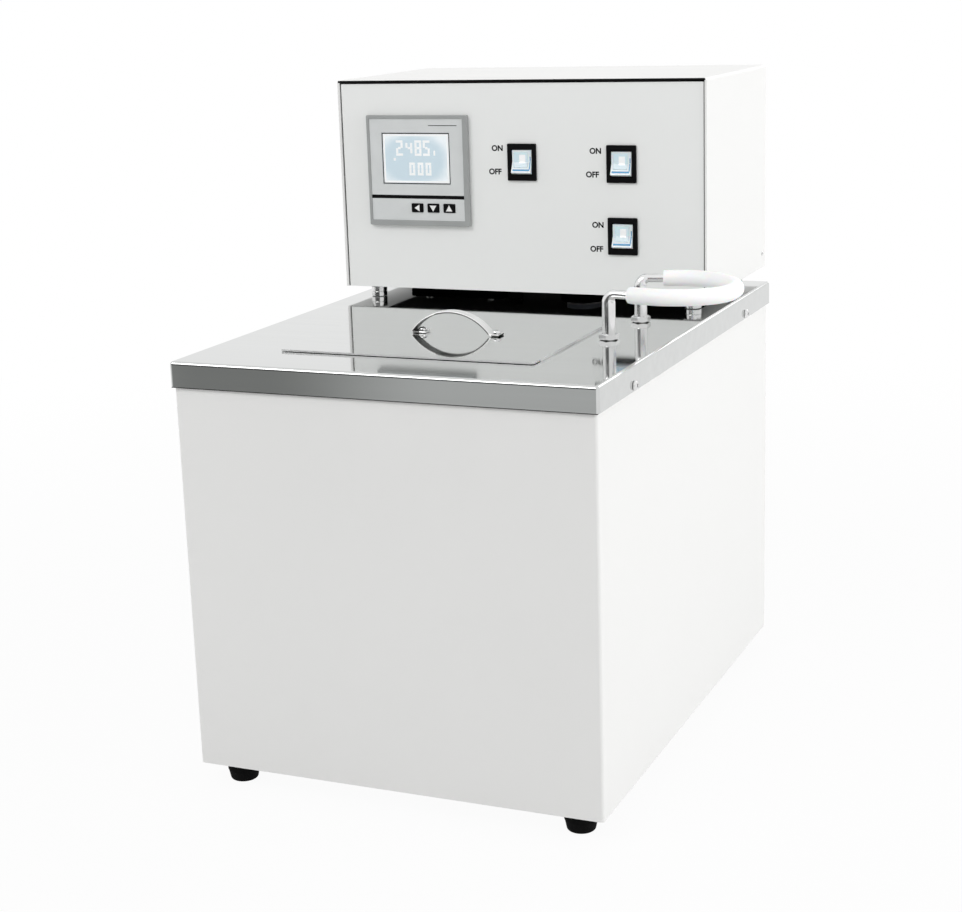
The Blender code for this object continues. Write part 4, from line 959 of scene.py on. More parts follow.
@dataclass
class Casing:
    """The painted wrap round the tank, its feet and the screws in its upper edge."""

    sheet: float = 1.2 * MM
    fold: float = 2.5 * MM
    seam_width: float = 16.0 * MM
    seam_sheet: float = 1.0 * MM
    rivet: float = 2.4 * MM
    foot_radius: float = 13.0 * MM
    sole_radius: float = 8.8 * MM
    collar: float = 9.2 * MM
    recess: float = 4.4 * MM

    def build(self) -> None:
        """Builds the casing's pieces."""
        self.build_wrap()
        self.build_feet()
        self.build_rim_screws()
        dress(ZINC, "base_plate")
        dress(WOOL, "tank_insulation")

    def build_wrap(self) -> None:
        """The bent sheet, closed at the rear by a riveted lap."""
        low, high = span("base_casing")
        outer = footprint("base_casing", self.fold)
        inner = outer.shrunk(self.sheet)
        ground = level(0)
        wrap = Shape(CASE_PAINT).frame(ground, outer, inner, low.z, high.z)
        rear = Seat(Vector((0, high.y, 0)), -X_WAY, Z_WAY)
        top = span("top_plate")[0].z - 1.5 * MM
        lap = Pane(-self.seam_width / 2, self.seam_width / 2, low.z + 2 * MM, top)
        wrap.slab(rear, lap, -0.05 * MM, self.seam_sheet, 0.3 * MM)
        for share in (0.06, 0.28, 0.5, 0.72, 0.94):
            spot = rear.moved(up=low.z + share * (top - low.z), out=self.seam_sheet)
            dome = [(self.rivet * x, 0.8 * MM * y) for x, y in arc((0, 0), 1.0, 0, 88, 5)]
            wrap.use(ZINC).lathe(spot, [(self.rivet, -0.1 * MM), *dome], 24)
        wrap.piece("casing_wrap", "bath", "base_casing")

    def build_feet(self) -> None:
        """Four rubber feet, each with its screw up inside."""
        for end in ENDS:
            node = f"foot_{end}"
            high = span(node)[1]
            seat = level(0, centre(node))
            sole = arc((self.sole_radius, 2.5 * MM), 2.5 * MM, 270, 355, 6)
            profile = [
                (self.recess, 0.3 * MM), *sole,
                (self.foot_radius - 0.4 * MM, self.collar - 0.6 * MM),
                (self.foot_radius, self.collar), (self.foot_radius, high.z - 0.5 * MM),
                (self.foot_radius - 0.5 * MM, high.z), (AXIS, high.z), (AXIS, 7.4 * MM),
                (self.recess, 7.4 * MM),
            ]
            foot = Shape(RUBBER).lathe(seat, profile, 48, loop=True)
            foot.piece(f"rubber_{node}", "bath", node)
            flipped = Seat(seat.at(0, 0, 7.2 * MM), X_WAY, -Y_WAY)
            screw = PanScrew(height=2.2 * MM).shape(flipped, 0.1 * MM - SEAT)
            screw.piece(f"{node}_screw", "bath")

    def build_rim_screws(self) -> None:
        """The pan-head screws that hold the top plate's rim."""
        turns = {"front_left": 12.0, "front_right": 38.0, "rear_left": 61.0, "rear_right": 17.0}
        for end, turn in turns.items():
            node = f"rim_screw_{end}"
            spot, plate = centre(node), span("top_plate")
            x, right = (plate[1].x, Y_WAY) if spot.x > 0 else (plate[0].x, -Y_WAY)
            seat = Seat(Vector((x, spot.y, spot.z)), right, Z_WAY)
            length = span(node)[1].x - span(node)[0].x - PanScrew.height - SEAT
            PanScrew().shape(seat, length, turn).piece(f"pan_{node}", "bath", node)


@dataclass
class TopPlate:
    """The folded stainless top, with its opening and every hole through it."""

    sheet: float = 2.0 * MM
    bend: float = 2.8 * MM
    overlap: float = 10.0 * MM
    steps: int = 8

    def build(self) -> None:
        """Builds the plate."""
        low, high = span("top_plate")
        pane = footprint("top_plate", self.bend)
        ground = level(0)
        top = high.z - self.bend
        inside = [
            (self.bend - (self.bend - self.sheet) * x, top + (self.bend - self.sheet) * y)
            for x, y in arc((0, 0), 1.0, 90, 0, self.steps)
        ]
        outside = [
            (self.bend - self.bend * x, top + self.bend * y)
            for x, y in arc((0, 0), 1.0, 0, 90, self.steps)
        ]
        levels = [*inside, (self.sheet, low.z), (0.0, low.z), *outside]
        plate = Shape(PLATE_STEEL)
        plate.loft([pane.shrunk(inset).ring(ground, z, self.steps) for inset, z in levels])
        plate.cut(self.openings(high.z))
        plate.piece("steel_top_plate", "bath", "top_plate")
        # Painted shadow: a black rubber strip under the plate's front rim, for the dark line of
        # shade below it.
        front = Seat(Vector((0, low.y, 0)))
        strip = Pane(low.x + MM, high.x - MM, low.z - 0.6 * MM, low.z - 0.02 * MM)
        Shape(RUBBER).slab(front, strip, -self.sheet, -0.15 * MM).piece("rim_shadow_strip", "bath")

    def openings(self, top: float) -> Shape:
        """The cutter for the lid's opening and the round holes.

        Args:
            top: The plate's upper face.

        Returns:
            The cutter.
        """
        seat = level(top - self.sheet / 2)
        lid = footprint("lid", 0.0).shrunk(self.overlap)
        opening = Pane(lid.left, lid.right, lid.low, lid.high, 3.0 * MM)
        cutter = Shape(PLATE_STEEL).slab(seat, opening, -4 * MM, 4 * MM)
        pipe, column, heater, probe = 5.6 * MM, 10.8 * MM, 4.3 * MM, 3.3 * MM
        holes = [(centre("return_pipe_nut"), pipe), (centre("outlet_pipe_nut"), pipe)]
        holes += [(centre("pump_column"), column), (centre("temperature_probe"), probe)]
        low, high = span("heating_element")
        holes += [
            (Vector((x, high.y - 4 * MM, 0)), heater) for x in (low.x + 4 * MM, high.x - 4 * MM)
        ]
        for spot, radius in holes:
            cutter.lathe(seat.moved(spot.x, spot.y), [(radius, -4 * MM), (radius, 4 * MM)], 36)
        return cutter


@dataclass
class Lid:
    """The loose lid with its locating ring and the arched strip that lifts it."""

    edge: float = 0.2 * MM
    corner: float = 3.0 * MM
    ring_sheet: float = 1.5 * MM
    span: float = 68.0 * MM
    rise: float = 17.0 * MM
    width: float = 10.4 * MM
    strap: float = 1.5 * MM
    left_tab: float = 12.5 * MM
    right_tab: float = 8.3 * MM
    left_fold: float = 0.8 * MM
    right_fold: float = 3.2 * MM
    chords: int = 24

    def build(self) -> None:
        """Builds the lid's pieces."""
        low, high = span("lid")
        pane = footprint("lid", self.corner)
        ground = level(0)
        levels = [(pane.shrunk(self.edge), low.z), (pane, low.z + self.edge)]
        levels += pane.rounded(high.z, self.edge)
        sheet = Shape(LID_STEEL).loft([outline.ring(ground, z) for outline, z in levels])
        sheet.piece("steel_lid", "lid_body", "lid")
        right = Seat(Vector((high.x, 0, 0)), Y_WAY, Z_WAY)
        strip = Pane(low.y + 14 * MM, high.y - MM, low.z - 0.24 * MM, high.z - 0.15 * MM)
        edges = Shape(BUFFED).slab(right, strip, -0.5 * MM, 0.03 * MM)
        front = Seat(Vector((0, low.y, 0)))
        strip = Pane(low.x + 2 * MM, high.x - 2 * MM, low.z + 0.15 * MM, high.z + 0.02 * MM)
        edges.slab(front, strip, -0.3 * MM, 0.03 * MM).piece("lid_edges", "lid_body")
        self.build_ring()
        self.build_handle()

    def build_ring(self) -> None:
        """The upright strip under the lid that keeps it in the opening."""
        low, high = span("lid_locating_ring")
        outer = footprint("lid_locating_ring", 2.5 * MM)
        inner = outer.shrunk(self.ring_sheet)
        ground = level(0)
        soft = 0.3 * MM
        rings = [
            outer.ring(ground, high.z), outer.ring(ground, low.z + soft),
            outer.shrunk(soft).ring(ground, low.z), inner.shrunk(-soft).ring(ground, low.z),
            inner.ring(ground, low.z + soft), inner.ring(ground, high.z),
        ]
        Shape(TANK_STEEL).loft(rings, loop=True).piece("lid_ring", "lid_body", "lid_locating_ring")

    def build_handle(self) -> None:
        """The bent strip and the screws through its two feet."""
        low = span("lid_handle")[0]
        half = self.span / 2
        radius = (half**2 + self.rise**2) / (2 * self.rise)
        turn = math.asin(half / radius)
        spot = centre("lid")
        base = low.z + self.strap / 2
        crest = base + self.rise - radius
        path = [Vector((spot.x - half + self.left_tab, spot.y, base))]
        for step in range(self.chords + 1):
            angle = turn * (2 * step / self.chords - 1)
            x, z = radius * math.sin(angle), radius * math.cos(angle)
            path.append(Vector((spot.x + x, spot.y, crest + z)))
        path.append(Vector((spot.x + half + self.right_tab, spot.y, base)))
        left = bent(path[:3], [self.left_fold])[:-1]
        right = bent(path[-3:], [self.right_fold])[1:]
        section = Pane.sized(self.width, self.strap, 0.7 * MM).section(8)
        route = [*left, *path[2:-2], *right]
        strip = Shape(SATIN).sweep(route, section, Y_WAY)
        skin = Pane.sized(self.width + 0.06 * MM, self.strap + 0.06 * MM, 0.7 * MM).section(8)
        # Painted shade on the strip's underside, where it faces the lid.
        under = [(across, away) for across, away in skin if away > 0.12 * MM]
        strip.use(STRAP_PAINTED_SHADE).sweep(route[6:-8], under, Y_WAY)
        # Painted shade along the lower half of the front edge, on the right half and on the right
        # tab.
        edge = [(across, away) for across, away in skin if away > -0.35 * MM]
        strip.sweep(route[len(route) // 2 - 4 : -9], edge, Y_WAY).sweep(right[-2:], edge, Y_WAY)
        # Painted shade over the left tip, which stands in its own shadow.
        strip.sweep([left[0].lerp(left[1], 0.5), *left[1:3]], skin, Y_WAY)
        strip.piece("strip_handle", "lid_body", "lid_handle")
        for side, turned in (("left", 20.0), ("right", 52.0)):
            node = f"handle_screw_{side}"
            seat = level(low.z + self.strap, centre(node))
            length = seat.spot.z - span(node)[0].z
            PanScrew().shape(seat, length, turned).piece(f"pan_{node}", "lid_body", node)


@dataclass
class Pipework:
    """Two pipes with turned-over spigots, their nuts, and the hose that bridges them."""

    radius: float = 5.3 * MM
    spigot: float = 3.4 * MM
    bore: float = 2.4 * MM
    bend: float = 6.5 * MM
    reach: float = 29.0 * MM
    turn: float = 12.0
    bead: float = 0.35 * MM
    hose_radius: float = 6.6 * MM
    hose_bore: float = 3.7 * MM
    hose_step: float = 3.0 * MM
    half_route: tuple[tuple[float, float, float], ...] = (
        (0.1428, -0.0852, 0.3846), (0.1496, -0.0866, 0.3846), (0.1563, -0.0880, 0.3846),
        (0.1682, -0.0890, 0.3845), (0.1799, -0.0870, 0.3844), (0.1908, -0.0820, 0.3841),
        (0.2001, -0.0745, 0.3839), (0.2071, -0.0649, 0.3836), (0.2116, -0.0538, 0.3835),
        (0.2131, -0.0420, 0.3834),
    )

    @property
    def route(self) -> list[tuple[float, float, float]]:
        """The hose's whole route: its front half and the mirror image of that."""
        half, middle = self.half_route, self.half_route[-1][1]
        return [*half, *((x, 2 * middle - y, z) for x, y, z in half[-2::-1])]

    def build(self) -> None:
        """Builds the pipes, the nuts and the hose."""
        self.build_hose()
        for node, turn in (("return_pipe", -self.turn), ("outlet_pipe", self.turn)):
            self.build_pipe(node, math.radians(turn))
            nut = f"{node}_nut"
            seat = level(span(nut)[0].z, centre(nut))
            HexNut().shape(seat, BRIGHT).piece(f"hex_{nut}", "bath", nut)

    def build_pipe(self, node: str, turn: float) -> None:
        """One pipe, drawn down to its narrower spigot through the bend.

        Args:
            node: The pipe's node.
            turn: How far the spigot turns towards the rear.
        """
        spot = centre(f"{node}_nut")
        way = Vector((math.cos(turn), math.sin(turn), 0.0))
        corner = Vector((spot.x, spot.y, self.route[0][2]))
        tip = corner + self.reach * way
        path = bent([Vector((spot.x, spot.y, span(node)[0].z)), corner, tip], [self.bend], 16)
        path[-1:] = [tip - back * MM * way for back in (2.6, 2.0, 1.4, 0.5, 0.0)]
        turns = len(path) - 6
        radii = [self.radius]
        radii += [
            self.radius + (self.spigot - self.radius) * step / (turns - 1) for step in range(turns)
        ]
        radii += [self.spigot, *[self.spigot + self.bead * share for share in (0, 1, 0.3, -0.6)]]
        pipe = Shape(BRIGHT).tube(path, radii, self.bore, 32)
        pipe.piece(f"steel_{node}", "bath", node)

    def smooth_route(self) -> list[Vector]:
        """Points a step apart on the smooth curve through the route's points."""
        points = [Vector(point) for point in self.route]
        padded = [2 * points[0] - points[1], *points, 2 * points[-1] - points[-2]]
        path: list[Vector] = []
        for a, b, c, d in zip(padded, padded[1:], padded[2:], padded[3:]):
            count = max(1, round((c - b).length / self.hose_step))
            for step in range(count):
                t = step / count
                pull = (c - a) / 2 * t * (1 - t) ** 2 - (d - b) / 2 * (1 - t) * t**2
                path.append(b * (1 + 2 * t) * (1 - t) ** 2 + c * (3 - 2 * t) * t**2 + pull)
        return [*path, points[-1]]

    def build_hose(self) -> None:
        """The silicone hose, with its whole length logged."""
        path = self.smooth_route()
        radii = [self.hose_radius] * len(path)
        radii[0] = radii[-1] = self.hose_radius - 0.35 * MM
        hose = Shape(SILICONE).tube(path, radii, self.hose_bore, 36)
        made = hose.piece("silicone_hose", "bath", "circulation_hose")
        length = sum((b - a).length for a, b in zip(path, path[1:]))
        LOG.info("hose length %.4f m", length)


@dataclass
class Works:
    """What hangs in the tank: heater, probe, pump column, impeller and delivery pipe."""

    rod: float = 4.0 * MM
    flange: float = 3.0 * MM
    bend: float = 9.0 * MM
    reach: float = 83.0 * MM
    fold: float = 20.0 * MM
    runs: int = 3
    probe: float = 3.0 * MM
    probe_flats: float = 12.0 * MM
    column: float = 10.5 * MM
    column_bore: float = 8.0 * MM

    def build(self) -> None:
        """Builds the finer pieces and finishes those that keep their shape."""
        self.build_heater()
        self.build_probe()
        self.build_column()
        dress(TANK_STEEL, "inner_tank")
        dress(WORKS_STEEL, "pump_housing", "pump_impeller", "delivery_pipe", "pump_shaft")
        dress(BRONZE, "shaft_bearing")
        dress(MOTOR_PAINT, "pump_motor")
        dress(BLACK, "motor_fan", "heater_relay")
        dress(WHITE, "terminal_strip")

    def build_heater(self) -> None:
        """The bent tubular element and the flange that holds it."""
        low, high = span("heating_element")
        left, right = low.x + self.rod, high.x - self.rod
        back, base = high.y - self.rod, low.z + self.rod
        front, fold, pitch = back - self.reach, back - self.fold, (right - left) / self.runs
        corners = [
            Vector(point)
            for point in (
                (left, back, high.z), (left, back, base), (left, front, base),
                (left + pitch, front, base), (left + pitch, fold, base),
                (right - pitch, fold, base), (right - pitch, front, base),
                (right, front, base), (right, back, base), (right, back, high.z),
            )
        ]
        path = bent(corners, [self.bend] * (len(corners) - 2))
        tube = Shape(WORKS_STEEL).tube(path, [self.rod] * len(path))
        tube.piece("heater_tube", "bath", "heating_element")
        low, high = span("heater_flange")
        spot = centre("heater_flange")
        seat = level(low.z, spot)
        pane = Pane.sized(high.x - low.x, high.y - low.y, 5.0 * MM)
        # The heater plate is near-black as painted shade, under the head.
        plate = Shape(ZINC_PAINTED_SHADE).slab(seat, pane, 0.0, self.flange, 0.4 * MM)
        holes = Shape(ZINC_PAINTED_SHADE)
        for x in (left, right):
            foot = seat.moved(x - spot.x, back - spot.y)
            holes.lathe(foot, [(self.rod + SEAT, -MM), (self.rod + SEAT, self.flange + MM)], 32)
        plate.cut(holes).piece("heater_plate", "bath", "heater_flange")

    def build_probe(self) -> None:
        """The temperature probe: a hexagon boss with a long thin pocket under it."""
        low, high = span("temperature_probe")
        spot = centre("temperature_probe")
        top = span("top_plate")[1].z + SEAT
        nut = HexNut(self.probe_flats, high.z - top, 2.2 * MM)
        # The probe's boss is near-black as painted shade, under the head.
        probe = nut.shape(level(top, spot), STEEL_PAINTED_SHADE)
        stem = level(0, spot)
        tip = [(self.probe * x, low.z + self.probe * (1 - y)) for x, y in arc((0, 0), 1, 89, 0, 6)]
        probe.lathe(stem, [*tip, (self.probe, top + 0.5 * MM), (0.1 * MM, top + 0.5 * MM)], 24)
        probe.use(BLACK).lathe(stem, [(2.1 * MM, top), (2.1 * MM, high.z - 0.8 * MM)], 20)
        probe.piece("probe_pocket", "bath", "temperature_probe")

    def build_column(self) -> None:
        """The hollow column that carries the pump, with its flange on the plate."""
        low, high = span("pump_column")
        seat = level(0, centre("pump_column"))
        edge, flange = (high.x - low.x) / 2, high.z - self.flange
        profile = [
            (self.column_bore, low.z), (self.column - 0.4 * MM, low.z),
            (self.column, low.z + 0.4 * MM), (self.column, flange), (edge - 0.3 * MM, flange),
            (edge, flange + 0.3 * MM), (edge, high.z - 0.5 * MM), (edge - 0.5 * MM, high.z),
            (self.column_bore, high.z),
        ]
        # The column is near-black as painted shade, under the head.
        column = Shape(STEEL_PAINTED_SHADE).lathe(seat, profile, 48, loop=True)
        column.piece("turned_column", "bath", "pump_column")


@dataclass
class Head:
    """The control head's posts, cover, panels and mains inlet."""

    sheet: float = 2.0 * MM
    fold: float = 2.8 * MM
    post_edge: float = 0.4 * MM
    top_line: float = 1.0 * MM
    side_line: float = 0.7 * MM
    line_sunk: float = 0.5 * MM
    vents: int = 12
    vent_width: float = 3.0 * MM
    vent_height: float = 60.0 * MM
    vent_pitch: float = 8.0 * MM
    vent_left: float = -80.0 * MM
    vent_up: float = 110.0 * MM
    inlet_depth: float = 16.0 * MM
    return_left: float = 36.0 * MM
    return_right: float = 20.0 * MM

    def build(self) -> None:
        """Builds the head's pieces."""
        self.build_posts()
        self.build_cover()
        self.build_front()
        self.build_rear()
        self.build_inlet()
        # The tray is near-black as painted shade, so the gap under the head reads dark.
        dress(TRAY_PAINTED_SHADE, "head_tray")
        dress(BRASS, "inlet_pin_line", "inlet_pin_neutral", "inlet_pin_earth")

    def build_posts(self) -> None:
        """Four turned posts, with a groove round each."""
        for end in ENDS:
            node = f"head_post_{end}"
            low, high = span(node)
            radius, edge = (high.x - low.x) / 2, self.post_edge
            groove, middle = radius - 0.5 * MM, (low.z + high.z) / 2
            profile = [
                (AXIS, low.z), (radius - edge, low.z), (radius, low.z + edge),
                (radius, middle - 0.4 * MM), (groove, middle - 0.1 * MM),
                (groove, middle + 0.1 * MM), (radius, middle + 0.4 * MM), (radius, high.z - edge),
                (radius - edge, high.z), (AXIS, high.z),
            ]
            post = Shape(BRIGHT).lathe(level(0, centre(node)), profile)
            post.piece(f"turned_{node}", "bath", node)

    def build_cover(self) -> None:
        """The sheet bent over the head's sides and top, and a screw low on each side."""
        low, high = span("head_cover")
        half = self.sheet / 2
        y = (low.y + high.y) / 2
        corners = [
            Vector((low.x + half, y, low.z)), Vector((low.x + half, y, high.z - half)),
            Vector((high.x - half, y, high.z - half)), Vector((high.x - half, y, low.z)),
        ]
        path = bent(corners, [self.fold - half] * 2, 8)
        section = Pane.sized(high.y - low.y, self.sheet, 0.35 * MM).section(3)
        cover = Shape(CASE_PAINT).sweep(path, section, Y_WAY)
        cover.piece("bent_cover", "bath", "head_cover")
        tray = span("head_tray")
        under = level(tray[0].z - 0.02 * MM)
        for side, left, right in (
            ("left", tray[0].x, tray[0].x + self.return_left),
            ("right", tray[1].x - self.return_right, tray[1].x),
        ):
            edge = Pane(left, right, tray[0].y, tray[1].y, 0.5 * MM)
            turned = Shape(CASE_PAINT).slab(under, edge, -0.2 * MM, 0.0)
            turned.piece(f"cover_return_{side}", "bath")
        screw = PanScrew(2.0 * MM, 0.9 * MM, 1.0 * MM, 0.45 * MM, 1.1 * MM, 0.6 * MM)
        for side, x, right in (("left", low.x, -Y_WAY), ("right", high.x, Y_WAY)):
            seat = Seat(Vector((x, high.y - 11 * MM, low.z + 13 * MM)), right, Z_WAY)
            screw.shape(seat.moved(out=-SEAT), 1.2 * MM).piece(f"cover_screw_{side}", "bath")

    def build_front(self) -> None:
        """The front panel with its cutouts, and the dark line between it and the cover."""
        low, high = span("front_panel")
        seat = Seat(Vector((0, high.y, 0)))
        out = high.y - low.y
        whole = Pane(low.x, high.x, low.z, high.z)
        face = Pane(
            low.x + self.side_line, high.x - self.side_line, low.z, high.z - self.top_line, 0.6 * MM
        )
        panel = Shape(PANEL_PAINT).slab(seat, face, 0.0, out, 0.25 * MM)
        holes = Shape(PANEL_PAINT)
        for node, width, height in self.cutouts():
            spot = centre(node)
            hole = seat.moved(spot.x, spot.z)
            holes.slab(hole, Pane.sized(width, height, MM), -MM, out + MM)
        panel.cut(holes).piece("painted_front", "bath", "front_panel")
        # Black strips for the dark lines round the panel, and one along the cover's top front edge.
        dark_lines = Shape(RUBBER).frame(seat, whole, face, 0.1 * MM, out - self.line_sunk)
        front = Seat(Vector((0, span("head_cover")[0].y, 0)))
        strip = Pane(low.x - 1.5 * MM, high.x + 1.0 * MM, high.z + 0.1 * MM, high.z + 1.9 * MM)
        dark_lines.slab(front, strip, 0.02 * MM, 0.15 * MM).piece("front_dark_lines", "bath")

    def cutouts(self) -> list[tuple[str, float, float]]:
        """The nodes that pass through the front panel, each with its hole's width and height."""
        switches = ("power", "circulation", "heating")
        holes = [(f"{name}_switch_frame", 22.6 * MM, 28.1 * MM) for name in switches]
        return [("controller_housing", 91.1 * MM, 91.1 * MM), *holes]

    def build_rear(self) -> None:
        """The rear panel with its vents, the inlet's hole and four screws."""
        low, high = span("rear_panel")
        seat = Seat(Vector((0, low.y, 0)), -X_WAY, Z_WAY)
        out = high.y - low.y
        pane = Pane(-high.x, -low.x, low.z, high.z, 0.6 * MM)
        panel = Shape(CASE_PAINT).slab(seat, pane, 0.0, out, 0.25 * MM)
        holes = Shape(CASE_PAINT)
        slot = Pane.sized(self.vent_width, self.vent_height, 0.49 * self.vent_width)
        first = self.vent_left - (self.vents - 1) / 2 * self.vent_pitch
        for index in range(self.vents):
            spot = seat.moved(-(first + index * self.vent_pitch), low.z + self.vent_up)
            holes.slab(spot, slot, -MM, out + MM)
        inlet = centre("mains_inlet")
        socket = Pane.sized(28.6 * MM, 22.1 * MM, MM)
        holes.slab(seat.moved(-inlet.x, inlet.z), socket, -MM, out + MM)
        panel.cut(holes).piece("painted_rear", "bath", "rear_panel")
        screw = PanScrew(3.2 * MM, 1.8 * MM, 1.4 * MM, 0.6 * MM, 1.6 * MM, 1.0 * MM)
        inset = 8 * MM
        for side, x in (("left", pane.left + inset), ("right", pane.right - inset)):
            for place, z in (("low", low.z + 2 * inset), ("high", high.z - inset)):
                foot = Seat(seat.at(x, z, out - SEAT), -X_WAY, Z_WAY)
                name = f"rear_screw_{side}_{place}"
                screw.shape(foot, out, 40 * x / pane.right).piece(name, "bath")

    def build_inlet(self) -> None:
        """The mains inlet: a flange round a socket whose upper corners are cut off."""
        low, high = span("mains_inlet")
        spot = centre("mains_inlet")
        seat = Seat(Vector((spot.x, high.y, spot.z)), -X_WAY, Z_WAY)
        flange = Pane.sized(high.x - low.x, high.z - low.z, 2.5 * MM)
        inlet = Shape(BLACK).slab(seat, flange, -2.5 * MM, 0.0, 0.5 * MM)
        body = Pane.sized(28.0 * MM, 21.5 * MM, MM)
        inlet.cut(Shape(BLACK).slab(seat, body, low.y - high.y, -1.2 * MM), "UNION")
        wide, tall, cut = 12.0 * MM, 8.25 * MM, 4.5 * MM
        outline = [
            (-wide, -tall), (wide, -tall), (wide, tall - cut), (wide - cut, tall),
            (cut - wide, tall), (-wide, tall - cut),
        ]
        inlet.cut(Shape(BLACK).prism(seat, outline, -self.inlet_depth, MM))
        inlet.piece("moulded_inlet", "bath", "mains_inlet")


class Digit(Enum):
    """The bars of a seven-bar digit that are lit, clockwise from the top and then the middle."""

    ZERO = "abcdef"
    TWO = "abged"
    FOUR = "fgbc"
    FIVE = "afgcd"
    EIGHT = "abcdefg"

    def bars(self, width: float, height: float, bar: float) -> list[Pane]:
        """The lit bars about the digit's middle.

        Args:
            width: The digit's width.
            height: Its height.
            bar: How thick a bar is.

        Returns:
            One rectangle a bar.
        """
        x, y, gap = width / 2, height / 2, 0.12 * MM
        places = {
            "a": (-x, x, y - bar, y), "b": (x - bar, x, gap, y - bar - gap),
            "c": (x - bar, x, bar - y + gap, -gap), "d": (-x, x, -y, bar - y),
            "e": (-x, bar - x, bar - y + gap, -gap), "f": (-x, bar - x, gap, y - bar - gap),
            "g": (-x + bar, x - bar, -bar / 2, bar / 2),
        }
        return [Pane(*places[name], 0.25 * MM) for name in self.value]


@dataclass
class Controller:
    """The temperature controller: frame, silver face, lit window and three keys."""

    proud: float = 4.5 * MM
    body: float = 90.5 * MM
    frame_left: float = 2.6 * MM
    frame_top: float = 3.0 * MM
    frame_right: float = 4.2 * MM
    frame_foot: float = 4.5 * MM
    face_sunk: float = 0.8 * MM
    bar_drop: float = 70.9 * MM
    bar_height: float = 3.2 * MM
    line_drop: float = 8.9 * MM
    line_start: float = 59.5 * MM
    line_end: float = 86.5 * MM
    outline: float = 1.0 * MM
    margin: float = 1.9 * MM
    ink: float = 0.04 * MM

    @property
    def seat(self) -> Seat:
        """The panel's face at the controller's upper left corner."""
        low, high = span("controller_housing")
        return Seat(Vector((low.x, low.y + self.proud, high.z)))

    @property
    def side(self) -> float:
        """The frame's width, which is also its height."""
        low, high = span("controller_housing")
        return high.x - low.x

    @property
    def face(self) -> float:
        """How far the silver face stands out of the panel."""
        return self.proud - self.face_sunk

    def build(self) -> None:
        """Builds the controller's pieces."""
        self.build_housing()
        self.build_window()
        self.build_keys()

    def build_housing(self) -> None:
        """The grey frame and its body, with the silver face let in."""
        outer = Pane(0.0, self.side, -self.side, 0.0, 1.0 * MM)
        inner = Pane(
            self.frame_left, self.side - self.frame_right, self.frame_foot - self.side,
            -self.frame_top, 0.5 * MM,
        )
        rim = (self.side - self.body) / 2
        back = self.proud - (span("controller_housing")[1].y - span("controller_housing")[0].y)
        soft = 0.45 * MM
        levels = [(outer.shrunk(rim), back), (outer.shrunk(rim), 0.0), (outer, 0.0)]
        levels += outer.rounded(self.proud, soft)
        levels += [(inner.shrunk(-0.2 * MM), self.proud), (inner, self.proud - 0.2 * MM)]
        levels += [(inner, self.face - 1.2 * MM)]
        housing = Shape(GREY_FRAME).loft([pane.ring(self.seat, out) for pane, out in levels])
        housing.cut(self.pockets())
        housing.piece("controller_frame", "bath", "controller_housing")
        plate = Shape(SILVER_FACE)
        plate.slab(self.seat, inner.shrunk(0.05 * MM), self.face - 1.15 * MM, self.face)
        plate.cut(self.pockets())
        bar = Pane(
            inner.left, inner.right, -self.bar_drop - self.bar_height / 2,
            -self.bar_drop + self.bar_height / 2, 0.1 * MM,
        )
        plate.use(BLACK).slab(self.seat, bar.shrunk(0.06 * MM), self.face, self.face + self.ink)
        line = Pane(
            self.line_start, self.line_end, -self.line_drop - 0.3 * MM,
            -self.line_drop + 0.3 * MM, 0.1 * MM,
        )
        plate.slab(self.seat, line, self.face, self.face + self.ink)
        plate.piece("controller_face", "bath")

    def opening(self, node: str, play: float) -> Pane:
        """A node's outline on the controller's face, grown by its play.

        Args:
            node: The node's name.
            play: How much wider each side is.

        Returns:
            The outline.
        """
        low, high = span(node)
        spot = self.seat.spot
        pane = Pane(low.x - spot.x, high.x - spot.x, low.z - spot.z, high.z - spot.z, 0.5 * MM)
        return pane.shrunk(-play)

    def pockets(self) -> Shape:
        """The cutter for the window and the keys."""
        cutter = Shape(GREY_FRAME)
        pockets = [("controller_window", 0.2, 2.9)]
        pockets += [(f"key_{name}", 0.25, 4.15) for name in ("shift", "down", "up")]
        for node, play, depth in pockets:
            pane = self.opening(node, play * MM)
            cutter.slab(self.seat, pane, self.face - depth * MM, 9 * MM)
        return cutter

    def build_window(self) -> None:
        """The lit field with its black outline, pale margin and two rows of digits."""
        pane = self.opening("controller_window", 0.0)
        low, high = span("controller_window")
        spot = centre("controller_window")
        top = self.seat.spot.y - low.y
        lit = Backlight(
            "lit_field", "display_glass", (0.60, 0.72, 0.79), 0.25,
            centre=(spot.x - 3 * MM, spot.y, spot.z - 1.5 * MM),
            reach=(0.5 * (high.x - low.x), 30 * MM, 0.5 * (high.z - low.z)),
        )
        window = Shape(lit).slab(self.seat, pane, self.seat.spot.y - high.y, top, 0.15 * MM)
        layer = top + 0.005 * MM
        for finish, outside, inside in (
            (BLACK, pane.shrunk(0.16 * MM), pane.shrunk(self.outline)),
            (MARK_WHITE, pane.shrunk(self.outline), pane.shrunk(self.outline + self.margin)),
        ):
            window.use(finish).frame(self.seat, outside, inside, layer, layer + self.ink)
        corner = self.seat.moved(pane.left, pane.high)
        upper = ((16.8, Digit.TWO), (26.0, Digit.FOUR), (34.7, Digit.EIGHT), (42.7, Digit.FIVE))
        lower = ((28.5, Digit.ZERO), (36.5, Digit.ZERO), (44.1, Digit.ZERO))
        rows = [(upper, 13.2, 6.6, 13.5), (lower, 31.3, 5.6, 11.2)]
        for row, drop, width, height in rows:
            for across, digit in row:
                place = corner.moved(across * MM, -drop * MM)
                for bar in digit.bars(width * MM, height * MM, 2.1 * MM):
                    window.slab(place, bar, layer, layer + self.ink)
        for across, drop, width, height in ((11.9, 23.0, 2.2, 2.4), (50.2, 17.4, 1.7, 4.4)):
            mark = Pane.sized(width * MM, height * MM, 0.3 * MM)
            window.slab(corner.moved(across * MM, -drop * MM), mark, layer, layer + self.ink)
        window.piece("display", "bath", "controller_window")

